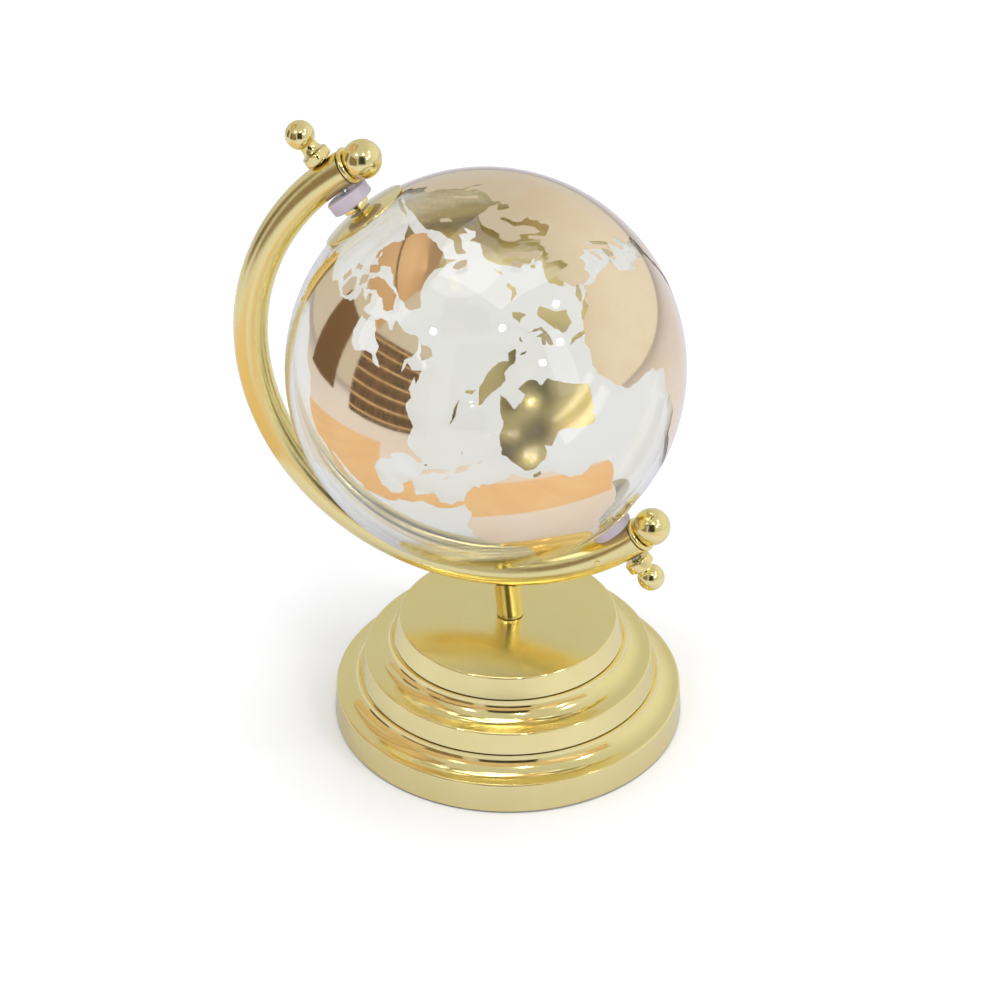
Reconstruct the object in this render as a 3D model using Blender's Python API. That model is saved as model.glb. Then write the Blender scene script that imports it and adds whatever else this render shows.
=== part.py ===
"""Desktop globe on a stand: a clear glass ball held at its poles by a C-shaped tube on a stepped base.

Metres, +Z up. The origin is the centre of the base on the table. The arm lies in the XZ plane and its
upper end leans towards -X. Neighbouring pieces keep a gap of 0.3 mm.
"""
import math

import bmesh
import bpy
from mathutils import Matrix, Vector

MM = 0.001
GAP = 0.3 * MM
TURN = 2 * math.pi

# Ball
GLOBE_RADIUS = 63.5 * MM
GLASS_THICKNESS = 2.5 * MM
POLE_HOLE_RADIUS = 3.5 * MM

# Arm: a round tube bent to a circle about ARM_CENTRE
ARM_CENTRE = Vector((-8.35, 0, 132.1)) * MM
ARM_RADIUS = 76.95 * MM
TUBE_RADIUS = 5.6 * MM
TUBE_BORE_RADIUS = 4.4 * MM
ARM_OVERHANG = 5.6 * MM
TUBE_SIDES = 14
TUBE_STEPS = 36
TILT = math.radians(37.9)
GLOBE_SLIDE = 1.4 * MM

# Arm ends
END_COLLAR_LENGTH = 1.7 * MM
END_COLLAR_PROUD = 0.45 * MM
END_BALL_RADIUS = 6.2 * MM
END_BALL_DISTANCE = 11.7 * MM
SPIGOT_RADIUS = 3.6 * MM
SPIGOT_LENGTH = 5.4 * MM

# Pivots, as radii about the ball's axis and distances out from the arm's centre
PIN_RADIUS = 1.5 * MM
PIN_HOLE_RADIUS = PIN_RADIUS + GAP
BUSH_RADIUS = 3.1 * MM
BUSH_INSIDE = 1.0 * MM
PIN_INSIDE = 0.5 * MM
PIN_REACH = 2.4 * MM
CUP_RADIUS = 14.5 * MM
CUP_THICKNESS = 0.8 * MM
SPACER_NECK_RADIUS = 3.0 * MM
SPACER_RADIUS = 4.4 * MM
SPACER_STEP = 1.0 * MM
SPACER_LENGTH = 2.4 * MM
WASHER_RADIUS = 7.1 * MM
WASHER_CHAMFER = 0.6 * MM
WASHER_STANDOFF = 0.95 * MM
LOCK_NUT_RADIUS = 4.8 * MM
LOCK_NUT_LENGTH = 3.35 * MM
NUT_SHOULDER_RADIUS = 4.03 * MM
NUT_BEVEL = 1.1 * MM
LOWER_COLLAR_RADIUS = 4.55 * MM
LOWER_COLLAR_LENGTH = 3.3 * MM
LOWER_COLLAR_STANDOFF = 1.05 * MM
LOWER_COLLAR_CHAMFER = 0.4 * MM
KNOB_NECK_HEIGHT = 1.2 * MM
KNOB_HOLE_DEPTH = 2.8 * MM
# Knobs: distance of the ball from the arm's centre, its radius, neck radius and foot radius
KNOBS = {
    "upper": (92.75 * MM, 4.6 * MM, 2.8 * MM, 3.3 * MM),
    "lower": (91.9 * MM, 4.5 * MM, 2.8 * MM, 2.9 * MM),
}

# Base: edge radius and top height, then foot radius and foot height, of each step
BASE_STEPS = {
    "base_tier_top": (36.9 * MM, 37.65 * MM, 39.1 * MM, 30.4 * MM),
    "base_tier_middle": (48.8 * MM, 24.05 * MM, 50.55 * MM, 16.8 * MM),
    "base_tier_bottom": (58.9 * MM, 11.05 * MM, 59.65 * MM, 0.5 * MM),
}
SHEET = 1.2 * MM
EDGE_ROUND = 0.7 * MM
NECK_FLANGE = 4.0 * MM
COVE_WIDTH = 7.0 * MM
TIER_SEGMENTS = 48

# Stem, and what is inside the base
STEM_RADIUS = 4.36 * MM
STEM_OFFSET = 0.6 * MM
BOLT_RADIUS = 2.0 * MM
BOLT_HOLE_RADIUS = 2.35 * MM
BOLT_HEAD_RADIUS = 4.0 * MM
BOLT_HEAD_HEIGHT = 2.8 * MM
BOLT_TOP = 46.0 * MM
BOLT_WASHER_RADIUS = 4.6 * MM
BOLT_WASHER_HEIGHT = 0.8 * MM
FELT_RADIUS = 57.5 * MM
FELT_HEIGHT = 1.0 * MM
COVER_RADIUS = 57.9 * MM
COVER_HEIGHT = 1.2 * MM
WEIGHT_RADIUS = 55.0 * MM
HEAD_RECESS_RADIUS = 6.0 * MM

# The plug in the tube's plating vent, on the front of the arm near its lower end
VENT_ANGLE = math.radians(173)
VENT_RADIUS = 1.5 * MM
PLUG_RADIUS = 1.15 * MM
PLUG_PROUD = 0.15 * MM
PLUG_LENGTH = 2.5 * MM

MATERIALS = {
    "gold_plate": ((0.66, 0.53, 0.25), 0.14, 1.0),
    "plain_steel": ((0.45, 0.45, 0.46), 0.35, 1.0),
    "cast_iron": ((0.08, 0.08, 0.085), 0.7, 1.0),
    "glass": ((0.93, 0.95, 0.95), 0.02, 0.0),
    "lilac_plastic": ((0.55, 0.42, 0.56), 0.3, 0.0),
    "white_plastic": ((0.8, 0.8, 0.78), 0.4, 0.0),
    "felt": ((0.03, 0.03, 0.035), 0.95, 0.0),
}


def clear_scene():
    for item in list(bpy.data.objects):
        bpy.data.objects.remove(item, do_unlink=True)


def make_material(name):
    colour, roughness, metallic = MATERIALS[name]
    material = bpy.data.materials.new(name)
    material.use_nodes = True
    shader = material.node_tree.nodes["Principled BSDF"]
    shader.inputs["Base Color"].default_value = (*colour, 1)
    shader.inputs["Roughness"].default_value = roughness
    shader.inputs["Metallic"].default_value = metallic
    if name == "glass":
        shader.inputs["Transmission Weight"].default_value = 1
    return material


def material_named(name):
    return bpy.data.materials.get(name) or make_material(name)


def frame_empty(name, matrix):
    empty = bpy.data.objects.new(name, None)
    bpy.context.collection.objects.link(empty)
    empty.matrix_world = matrix
    return empty


def add_object(name, bm, material, frame=None):
    """Turn a bmesh into a named object with outward faces, placed in the frame of an empty."""
    bmesh.ops.remove_doubles(bm, verts=bm.verts, dist=0.001 * MM)
    bmesh.ops.recalc_face_normals(bm, faces=bm.faces)
    mesh = bpy.data.meshes.new(name)
    bm.to_mesh(mesh)
    bm.free()
    mesh.materials.append(material_named(material))
    mesh.shade_smooth()
    mesh.set_sharp_from_angle(angle=math.radians(35))
    item = bpy.data.objects.new(name, mesh)
    bpy.context.collection.objects.link(item)
    item.parent = frame
    return item


def arc(centre, radius, start, end, steps):
    """Points (radius, height) on an arc; angles in degrees, 0 outward and 90 up."""
    points = []
    for index in range(steps + 1):
        angle = math.radians(start + (end - start) * index / steps)
        points.append((centre[0] + radius * math.cos(angle), centre[1] + radius * math.sin(angle)))
    return points


def turned(name, outline, material, frame=None, segments=24):
    """Spin an outline of (radius, height) points about Z; ends on the axis close by themselves."""
    bm = bmesh.new()
    corners = [bm.verts.new((radius, 0, height)) for radius, height in outline]
    on_axis = outline[0][0] == 0 and outline[-1][0] == 0
    pairs = list(zip(corners, corners[1:]))
    if not on_axis:
        pairs.append((corners[-1], corners[0]))
    edges = [bm.edges.new(pair) for pair in pairs]
    bmesh.ops.spin(bm, geom=corners + edges, cent=(0, 0, 0), axis=(0, 0, 1), angle=TURN,
                   steps=segments, use_merge=True)
    return add_object(name, bm, material, frame)


def ring_outline(hole_radius, radius, bottom, top, chamfer=0.0):
    """The section of a ring, its outer corners chamfered if a chamfer is given."""
    if not chamfer:
        return [(hole_radius, top), (radius, top), (radius, bottom), (hole_radius, bottom)]
    outer = [(radius - chamfer, top), (radius, top - chamfer)]
    outer += [(radius, bottom + chamfer), (radius - chamfer, bottom)]
    return [(hole_radius, top)] + outer + [(hole_radius, bottom)]


def cutter(name, radius, bottom, top, matrix, segments=24):
    """A hidden solid cylinder that a Boolean takes away."""
    outline = [(0, top), (radius, top), (radius, bottom), (0, bottom)]
    tool = turned(name, outline, "plain_steel", None, segments)
    tool.matrix_world = matrix
    tool.hide_render = True
    tool.display_type = "WIRE"
    return tool


def boolean(item, tool, operation="DIFFERENCE"):
    modifier = item.modifiers.new(tool.name, "BOOLEAN")
    modifier.operation = operation
    modifier.solver = "EXACT"
    modifier.object = tool


# Frames. Z of a pivot frame points out along the ball's axis, from the arm's centre.
def pivot_matrix(lower):
    upper = Matrix.Translation(ARM_CENTRE) @ Matrix.Rotation(-TILT, 4, "Y")
    return upper @ Matrix.Rotation(math.pi, 4, "X") if lower else upper


def end_matrix(lower, distance):
    """On the tube's centreline, past the pivot by a distance, with Z pointing out of the tube's end."""
    swing = Matrix.Rotation(distance / ARM_RADIUS, 4, "Y")
    out = Matrix.Translation((0, 0, ARM_RADIUS)) @ Matrix.Rotation(math.pi / 2, 4, "Y")
    return pivot_matrix(lower) @ swing @ out


def stem_matrix():
    """At the stem's foot, with Z pointing at the arm's centre, square to the tube."""
    foot = Vector((STEM_OFFSET, 0, BASE_STEPS["base_tier_top"][1] + GAP))
    direction = ARM_CENTRE - foot
    return Matrix.Translation(foot) @ Matrix.Rotation(math.atan2(direction.x, direction.z), 4, "Y")


# Base
def wall_outline(edge_radius, top, foot_radius, foot):
    """The rounded edge and flared wall of a step, from its flat top down to its foot."""
    corner = (edge_radius - EDGE_ROUND, top - EDGE_ROUND)
    return arc(corner, EDGE_ROUND, 90, 0, 3) + [(foot_radius, foot)]


def cove_outline(neck_radius, neck_height, flat_height):
    """A quarter ellipse from an upright neck, hollow side out, down to a flat."""
    steps = 4
    points = []
    for index in range(steps + 1):
        angle = math.pi / 2 * index / steps
        radius = neck_radius + COVE_WIDTH * (1 - math.cos(angle))
        height = neck_height - (neck_height - flat_height) * math.sin(angle)
        points.append((radius, height))
    return points


def inner_wall(edge_radius, top, foot_radius, foot):
    return [(foot_radius - SHEET, foot), (edge_radius - SHEET, top - SHEET)]


def top_tier():
    edge_radius, top, foot_radius, foot = BASE_STEPS["base_tier_top"]
    outline = [(BOLT_HOLE_RADIUS, top)]
    outline += wall_outline(edge_radius, top, foot_radius, foot)
    outline += inner_wall(edge_radius, top, foot_radius, foot)
    outline += [(BOLT_HOLE_RADIUS, top - SHEET)]
    turned("base_tier_top", outline, "gold_plate", segments=TIER_SEGMENTS)


def ring_tier(name, seat_name):
    """A step whose neck carries the wall of the step above it."""
    edge_radius, top, foot_radius, foot = BASE_STEPS[name]
    seat_radius = BASE_STEPS[seat_name][2]
    seat_height = BASE_STEPS[seat_name][3] - GAP
    outer_cove = cove_outline(seat_radius, seat_height, top)
    inner_cove = [(radius - SHEET, height - SHEET) for radius, height in outer_cove]
    outline = [(seat_radius - NECK_FLANGE, seat_height)]
    outline += outer_cove
    outline += wall_outline(edge_radius, top, foot_radius, foot)
    outline += inner_wall(edge_radius, top, foot_radius, foot)
    outline += reversed(inner_cove)
    outline += [(seat_radius - NECK_FLANGE, seat_height - SHEET)]
    turned(name, outline, "gold_plate", segments=TIER_SEGMENTS)


def base_inside():
    cover_bottom = FELT_HEIGHT + GAP
    cover_top = cover_bottom + COVER_HEIGHT
    weight_bottom = cover_top + GAP
    weight_top = BASE_STEPS["base_tier_bottom"][1] - SHEET - GAP
    head_top = cover_bottom + BOLT_HEAD_HEIGHT
    washer_bottom = head_top + GAP
    washer_top = washer_bottom + BOLT_WASHER_HEIGHT
    recess_top = washer_top + GAP
    turned("felt_pad", [(0, FELT_HEIGHT), (FELT_RADIUS, FELT_HEIGHT), (FELT_RADIUS, 0), (0, 0)],
           "felt", segments=TIER_SEGMENTS)
    turned("base_cover_plate", ring_outline(HEAD_RECESS_RADIUS, COVER_RADIUS, cover_bottom, cover_top),
           "plain_steel", segments=48)
    weight = [(BOLT_HOLE_RADIUS, weight_top), (WEIGHT_RADIUS, weight_top)]
    weight += [(WEIGHT_RADIUS, weight_bottom), (HEAD_RECESS_RADIUS, weight_bottom)]
    weight += [(HEAD_RECESS_RADIUS, recess_top), (BOLT_HOLE_RADIUS, recess_top)]
    turned("base_weight", weight, "cast_iron", segments=48)
    turned("base_washer", ring_outline(BOLT_HOLE_RADIUS, BOLT_WASHER_RADIUS, washer_bottom, washer_top),
           "plain_steel")
    bolt(cover_bottom, head_top)


def bolt(head_bottom, head_top):
    """A hexagon head with a round shank, joined by a Boolean."""
    head = [(0, head_top), (BOLT_HEAD_RADIUS, head_top), (BOLT_HEAD_RADIUS, head_bottom), (0, head_bottom)]
    body = turned("base_bolt", head, "plain_steel", segments=6)
    shank = cutter("bolt_shank", BOLT_RADIUS, head_bottom + BOLT_HEAD_HEIGHT / 2, BOLT_TOP,
                   Matrix.Identity(4), 16)
    boolean(body, shank, "UNION")


def stem():
    """A round post, cut level at its foot and to a saddle at its top, with a blind hole for the bolt."""
    matrix = stem_matrix()
    overlong = 18 * MM
    spare = 4 * MM
    post_outline = [(0, overlong), (STEM_RADIUS, overlong), (STEM_RADIUS, -spare), (0, -spare)]
    post = turned("stem_post", post_outline, "gold_plate", frame_empty("stem_frame", matrix), 32)
    foot = matrix.translation
    level = cutter("stem_foot_cut", 3 * STEM_RADIUS, -3 * spare, 0, Matrix.Translation(foot))
    tube_height = (ARM_CENTRE - foot).length - ARM_RADIUS
    along_tube = matrix @ Matrix.Translation((0, 0, tube_height)) @ Matrix.Rotation(math.pi / 2, 4, "Y")
    saddle = cutter("stem_saddle_cut", TUBE_RADIUS + GAP, -3 * STEM_RADIUS, 3 * STEM_RADIUS,
                    along_tube, 48)
    bore = cutter("stem_bolt_cut", BOLT_HOLE_RADIUS, foot.z - spare, BOLT_TOP + GAP, Matrix.Identity(4), 16)
    for tool in (level, saddle, bore):
        boolean(post, tool)


# Arm
def tube_ring(bm, radius, swing):
    """A circle of corners round the tube's centreline, swung about the arm's centre by an angle."""
    ring = []
    for index in range(TUBE_SIDES):
        angle = TURN * index / TUBE_SIDES
        place = Vector((0, radius * math.sin(angle), ARM_RADIUS + radius * math.cos(angle)))
        ring.append(bm.verts.new(Matrix.Rotation(swing, 3, "Y") @ place))
    return ring


def join_rings(bm, first, second):
    for index in range(TUBE_SIDES):
        following = (index + 1) % TUBE_SIDES
        bm.faces.new((first[index], first[following], second[following], second[index]))


def arm():
    frame = frame_empty("arm_frame", pivot_matrix(False))
    bm = bmesh.new()
    start = ARM_OVERHANG / ARM_RADIUS
    sweep = math.pi + 2 * start
    swings = [start - sweep * index / TUBE_STEPS for index in range(TUBE_STEPS + 1)]
    walls = [[tube_ring(bm, radius, swing) for swing in swings] for radius in (TUBE_RADIUS, TUBE_BORE_RADIUS)]
    for wall in walls:
        for first, second in zip(wall, wall[1:]):
            join_rings(bm, first, second)
    outer, inner = walls
    join_rings(bm, outer[0], inner[0])
    join_rings(bm, outer[-1], inner[-1])
    tube = add_object("arm_tube", bm, "gold_plate", frame)
    reach = ARM_RADIUS + 2 * TUBE_RADIUS
    pins = cutter("arm_pin_cut", PIN_HOLE_RADIUS, -reach, reach, pivot_matrix(False), 12)
    vent = cutter("arm_vent_cut", VENT_RADIUS, TUBE_BORE_RADIUS / 2, 2 * TUBE_RADIUS, vent_matrix(), 12)
    boolean(tube, pins)
    boolean(tube, vent)
    turned("arm_vent_plug", [(0, TUBE_RADIUS + PLUG_PROUD), (PLUG_RADIUS, TUBE_RADIUS),
                             (PLUG_RADIUS, TUBE_RADIUS - PLUG_LENGTH), (0, TUBE_RADIUS - PLUG_LENGTH)],
           "gold_plate", frame_empty("vent_frame", vent_matrix()), 12)


def vent_matrix():
    """On the tube's centreline at the vent, with Z pointing out of the arm's front."""
    swing = Matrix.Rotation(-VENT_ANGLE, 4, "Y") @ Matrix.Translation((0, 0, ARM_RADIUS))
    return pivot_matrix(False) @ swing @ Matrix.Rotation(math.pi / 2, 4, "X")


def arm_end(side, lower):
    """The bead ring at the tube's mouth, and the ball whose spigot plugs the tube through it."""
    collar_start = ARM_OVERHANG + GAP
    collar_end = collar_start + END_COLLAR_LENGTH
    middle = (collar_start + collar_end) / 2
    collar_frame = frame_empty(side + "_collar_frame", end_matrix(lower, middle))
    half = END_COLLAR_LENGTH / 2
    bead = arc((TUBE_RADIUS - half + END_COLLAR_PROUD, 0), half, 90, -90, 4)
    hole = SPIGOT_RADIUS + GAP
    turned(side + "_end_collar", [(hole, half)] + bead + [(hole, -half)], "gold_plate", collar_frame, 20)
    ball_frame = frame_empty(side + "_ball_frame", end_matrix(lower, END_BALL_DISTANCE))
    seat = END_BALL_DISTANCE - collar_end - GAP
    seat_angle = math.degrees(math.asin(seat / END_BALL_RADIUS))
    ball = arc((0, 0), END_BALL_RADIUS, 90, -seat_angle, 8)
    ball[0] = (0, END_BALL_RADIUS)
    ball += [(SPIGOT_RADIUS, -seat), (SPIGOT_RADIUS, -seat - SPIGOT_LENGTH), (0, -seat - SPIGOT_LENGTH)]
    turned(side + "_end_ball", ball, "gold_plate", ball_frame, 20)


# Pivots
def knob(side, frame, base):
    """A ball on a short neck, with a blind hole for the pin."""
    ball_centre, ball_radius, neck_radius, foot_radius = KNOBS[side]
    hole_top = base + KNOB_HOLE_DEPTH
    neck_angle = math.degrees(math.acos(neck_radius / ball_radius))
    outline = arc((0, ball_centre), ball_radius, 90, -neck_angle, 8)
    outline[0] = (0, ball_centre + ball_radius)
    outline += [(neck_radius, base + KNOB_NECK_HEIGHT), (foot_radius, base), (PIN_HOLE_RADIUS, base)]
    outline += [(PIN_HOLE_RADIUS, hole_top), (0, hole_top)]
    turned(side + "_finial_knob", outline, "gold_plate", frame, 18)


def pin(side, frame, inner_end, outer_end):
    outline = [(0, outer_end), (PIN_RADIUS, outer_end), (PIN_RADIUS, inner_end), (0, inner_end)]
    turned(side + "_pivot_pin", outline, "plain_steel", frame, 12)


def cup(side, frame, globe_centre):
    """A thin cap that follows the glass around the pole."""
    inner = GLOBE_RADIUS + GAP
    outer = inner + CUP_THICKNESS
    rim = 90 - math.degrees(math.asin(CUP_RADIUS / outer))
    hole = 90 - math.degrees(math.asin(POLE_HOLE_RADIUS / outer))
    outline = arc((0, globe_centre), outer, hole, rim, 3)
    outline += arc((0, globe_centre), inner, rim, hole, 3)
    turned(side + "_pole_cup", outline, "gold_plate", frame, 32)


def lock_nut(frame, bottom):
    """A hexagon nut whose corners are rounded off by a turned bead."""
    top = bottom + LOCK_NUT_LENGTH
    nut = turned("upper_lock_nut", ring_outline(PIN_HOLE_RADIUS, LOCK_NUT_RADIUS, bottom, top),
                 "gold_plate", frame, 6)
    outline = [(0, top + GAP), (NUT_SHOULDER_RADIUS, top + GAP), (LOCK_NUT_RADIUS, top - NUT_BEVEL)]
    outline += [(LOCK_NUT_RADIUS, bottom + NUT_BEVEL), (NUT_SHOULDER_RADIUS, bottom - GAP), (0, bottom - GAP)]
    bead = turned("lock_nut_bead", outline, "plain_steel", frame)
    bead.hide_render = True
    bead.display_type = "WIRE"
    boolean(nut, bead, "INTERSECT")


def pivot(side, lower):
    frame = frame_empty(side + "_pivot_frame", pivot_matrix(lower))
    globe_centre = GLOBE_SLIDE if lower else -GLOBE_SLIDE
    arm_inner = ARM_RADIUS - TUBE_RADIUS
    arm_outer = ARM_RADIUS + TUBE_RADIUS
    cup_top = globe_centre + GLOBE_RADIUS + GAP + CUP_THICKNESS
    bush_bottom = globe_centre + GLOBE_RADIUS - GLASS_THICKNESS - BUSH_INSIDE
    cup(side, frame, globe_centre)
    turned(side + "_pole_bush", ring_outline(PIN_HOLE_RADIUS, BUSH_RADIUS, bush_bottom, cup_top),
           "white_plastic", frame)
    washer_bottom = cup_top + GAP
    if not lower:
        spacer_top = washer_bottom + SPACER_LENGTH
        step = washer_bottom + SPACER_STEP
        spacer = [(PIN_HOLE_RADIUS, spacer_top), (SPACER_RADIUS, spacer_top), (SPACER_RADIUS, step)]
        spacer += [(SPACER_NECK_RADIUS, step), (SPACER_NECK_RADIUS, washer_bottom)]
        spacer += [(PIN_HOLE_RADIUS, washer_bottom)]
        turned("upper_spacer", spacer, "gold_plate", frame)
        washer_bottom = spacer_top + GAP
    turned(side + "_pivot_washer",
           ring_outline(PIN_HOLE_RADIUS, WASHER_RADIUS, washer_bottom,
                        arm_inner - WASHER_STANDOFF, WASHER_CHAMFER),
           "lilac_plastic", frame, 24)
    if lower:
        collar_bottom = arm_outer + LOWER_COLLAR_STANDOFF
        knob_base = collar_bottom + LOWER_COLLAR_LENGTH + GAP
        turned("lower_lock_collar",
               ring_outline(PIN_HOLE_RADIUS, LOWER_COLLAR_RADIUS, collar_bottom,
                            knob_base - GAP, LOWER_COLLAR_CHAMFER), "gold_plate", frame)
    else:
        lock_nut(frame, arm_outer + GAP)
        knob_base = arm_outer + 2 * GAP + LOCK_NUT_LENGTH
    knob(side, frame, knob_base)
    pin(side, frame, bush_bottom - PIN_INSIDE, knob_base + PIN_REACH)


def globe():
    """A hollow glass ball, open at both poles, with its origin at its own centre."""
    matrix = pivot_matrix(False) @ Matrix.Translation((0, 0, -GLOBE_SLIDE))
    frame = frame_empty("globe_frame", matrix)
    inner = GLOBE_RADIUS - GLASS_THICKNESS
    hole_outside = 90 - math.degrees(math.asin(POLE_HOLE_RADIUS / GLOBE_RADIUS))
    hole_inside = 90 - math.degrees(math.asin(POLE_HOLE_RADIUS / inner))
    outline = arc((0, 0), GLOBE_RADIUS, hole_outside, -hole_outside, 20)
    outline += arc((0, 0), inner, -hole_inside, hole_inside, 12)
    turned("globe_glass", outline, "glass", frame, 40)


clear_scene()
top_tier()
ring_tier("base_tier_middle", "base_tier_top")
ring_tier("base_tier_bottom", "base_tier_middle")
base_inside()
stem()
arm()
for end_side, is_lower in (("upper", False), ("lower", True)):
    arm_end(end_side, is_lower)
    pivot(end_side, is_lower)
globe()
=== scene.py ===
"""Looks of the desktop globe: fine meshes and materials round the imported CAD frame, in metres."""

import math
import random

import bmesh
import bpy
import numpy as np
from mathutils import Matrix, Quaternion, Vector
from mathutils.geometry import delaunay_2d_cdt


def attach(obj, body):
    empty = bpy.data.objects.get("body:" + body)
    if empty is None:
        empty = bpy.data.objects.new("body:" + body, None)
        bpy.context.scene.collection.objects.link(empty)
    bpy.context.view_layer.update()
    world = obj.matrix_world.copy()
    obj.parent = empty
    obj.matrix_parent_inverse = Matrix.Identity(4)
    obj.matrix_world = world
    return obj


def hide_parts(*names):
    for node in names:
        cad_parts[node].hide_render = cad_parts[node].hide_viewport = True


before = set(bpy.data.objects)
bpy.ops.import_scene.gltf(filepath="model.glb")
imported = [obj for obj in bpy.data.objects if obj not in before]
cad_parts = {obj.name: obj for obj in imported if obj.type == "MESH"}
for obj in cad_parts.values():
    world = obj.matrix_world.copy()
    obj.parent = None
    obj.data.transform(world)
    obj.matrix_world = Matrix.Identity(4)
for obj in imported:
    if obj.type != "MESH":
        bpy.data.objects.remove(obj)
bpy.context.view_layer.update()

MM = 0.001
TURN = 2 * math.pi
ROUND = 192
ROUND_SMALL = 72

# Sizes of the CAD parts that the fine meshes repeat
GLOBE_RADIUS = 63.5 * MM
GLASS_THICKNESS = 2.5 * MM
POLE_HOLE_RADIUS = 3.5 * MM
ARM_CENTRE = Vector((-8.35, 0, 132.1)) * MM
ARM_RADIUS = 76.95 * MM
TUBE_RADIUS = 5.6 * MM
TUBE_BORE_RADIUS = 4.4 * MM
ARM_OVERHANG = 5.6 * MM
TILT = math.radians(37.9)
GLOBE_SLIDE = 1.4 * MM
GAP = 0.3 * MM
PIN_HOLE_RADIUS = 1.8 * MM
CUP_RADIUS = 14.5 * MM
CUP_THICKNESS = 0.8 * MM
END_COLLAR_LENGTH = 1.7 * MM
END_COLLAR_PROUD = 0.45 * MM
END_BALL_RADIUS = 6.2 * MM
END_BALL_DISTANCE = 11.7 * MM
SPIGOT_RADIUS = 3.6 * MM
SPIGOT_LENGTH = 5.4 * MM
SPACER_NECK_RADIUS = 3.0 * MM
SPACER_RADIUS = 4.4 * MM
SPACER_STEP = 1.0 * MM
SPACER_LENGTH = 2.4 * MM
WASHER_RADIUS = 7.1 * MM
WASHER_CHAMFER = 0.3 * MM
WASHER_STANDOFF = 0.95 * MM
LOCK_NUT_RADIUS = 4.8 * MM
LOCK_NUT_LENGTH = 3.35 * MM
NUT_SHOULDER = 0.72
NUT_FLATS = 0.90
LOWER_COLLAR_RADIUS = 4.55 * MM
LOWER_COLLAR_LENGTH = 3.3 * MM
LOWER_COLLAR_STANDOFF = 1.05 * MM
# Distance of the knob's ball from the arm's centre, then radii of its ball, neck and foot
KNOBS = {
    "upper": (92.75 * MM, 4.6 * MM, 2.8 * MM, 3.3 * MM),
    "lower": (91.9 * MM, 4.5 * MM, 2.8 * MM, 2.9 * MM),
}
KNOB_HOLE_DEPTH = 2.8 * MM
STEM_RADIUS = 4.36 * MM
STEM_OFFSET = 0.6 * MM
BRAZE_SWELL = 0.035
BRAZE_HEIGHT = 0.5 * MM
VENT_ANGLE = math.radians(173)
VENT_PLUG_RADIUS = 1.15 * MM
SHEET = 1.2 * MM
EDGE_ROUND = 0.7 * MM
NECK_FLANGE = 4.0 * MM
COVE_WIDTH = 7.0 * MM
BOLT_HOLE_RADIUS = 2.35 * MM
# Radius and height of each wall's top edge, then of its foot
BASE_STEPS = {
    "base_tier_top": (36.9 * MM, 37.65 * MM, 39.1 * MM, 30.4 * MM),
    "base_tier_middle": (48.8 * MM, 24.05 * MM, 50.55 * MM, 16.8 * MM),
    "base_tier_bottom": (58.9 * MM, 11.05 * MM, 59.65 * MM, 0.5 * MM),
}

# Map on the ball
FOIL_CLEARANCE = 0.06 * MM
FOIL_THICKNESS = 0.05 * MM
COAST_STEP = math.radians(0.55)
COAST_ROUGHNESS = 0.13
LAND_GRID = math.radians(1.7)
MAP_BLEND = math.radians(28)

# The printed map is stretched, so each region of it is placed by two landmarks of its own. A region
# is the latitude and longitude of its middle, and a landmark is its latitude and longitude, then
# where it lies on the ball: degrees from the upper pole, and degrees round from the front
MAP_REGIONS = (
    ((48, -95), (53, -56, 62, 19), (25, -81, 86, -1)),
    ((-12, -60), (12, -72, 100, 8), (-5, -35, 119, 42)),
    ((22, 2), (36, -6, 81, 66), (8, -13, 96, 56)),
    ((-12, 125), (-34, 115, 139, -179), (-12, 131, 118, -163)),
    ((72, -40), (70, -22, 49, 47), (75, -58, 32, 22)),
)
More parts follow.
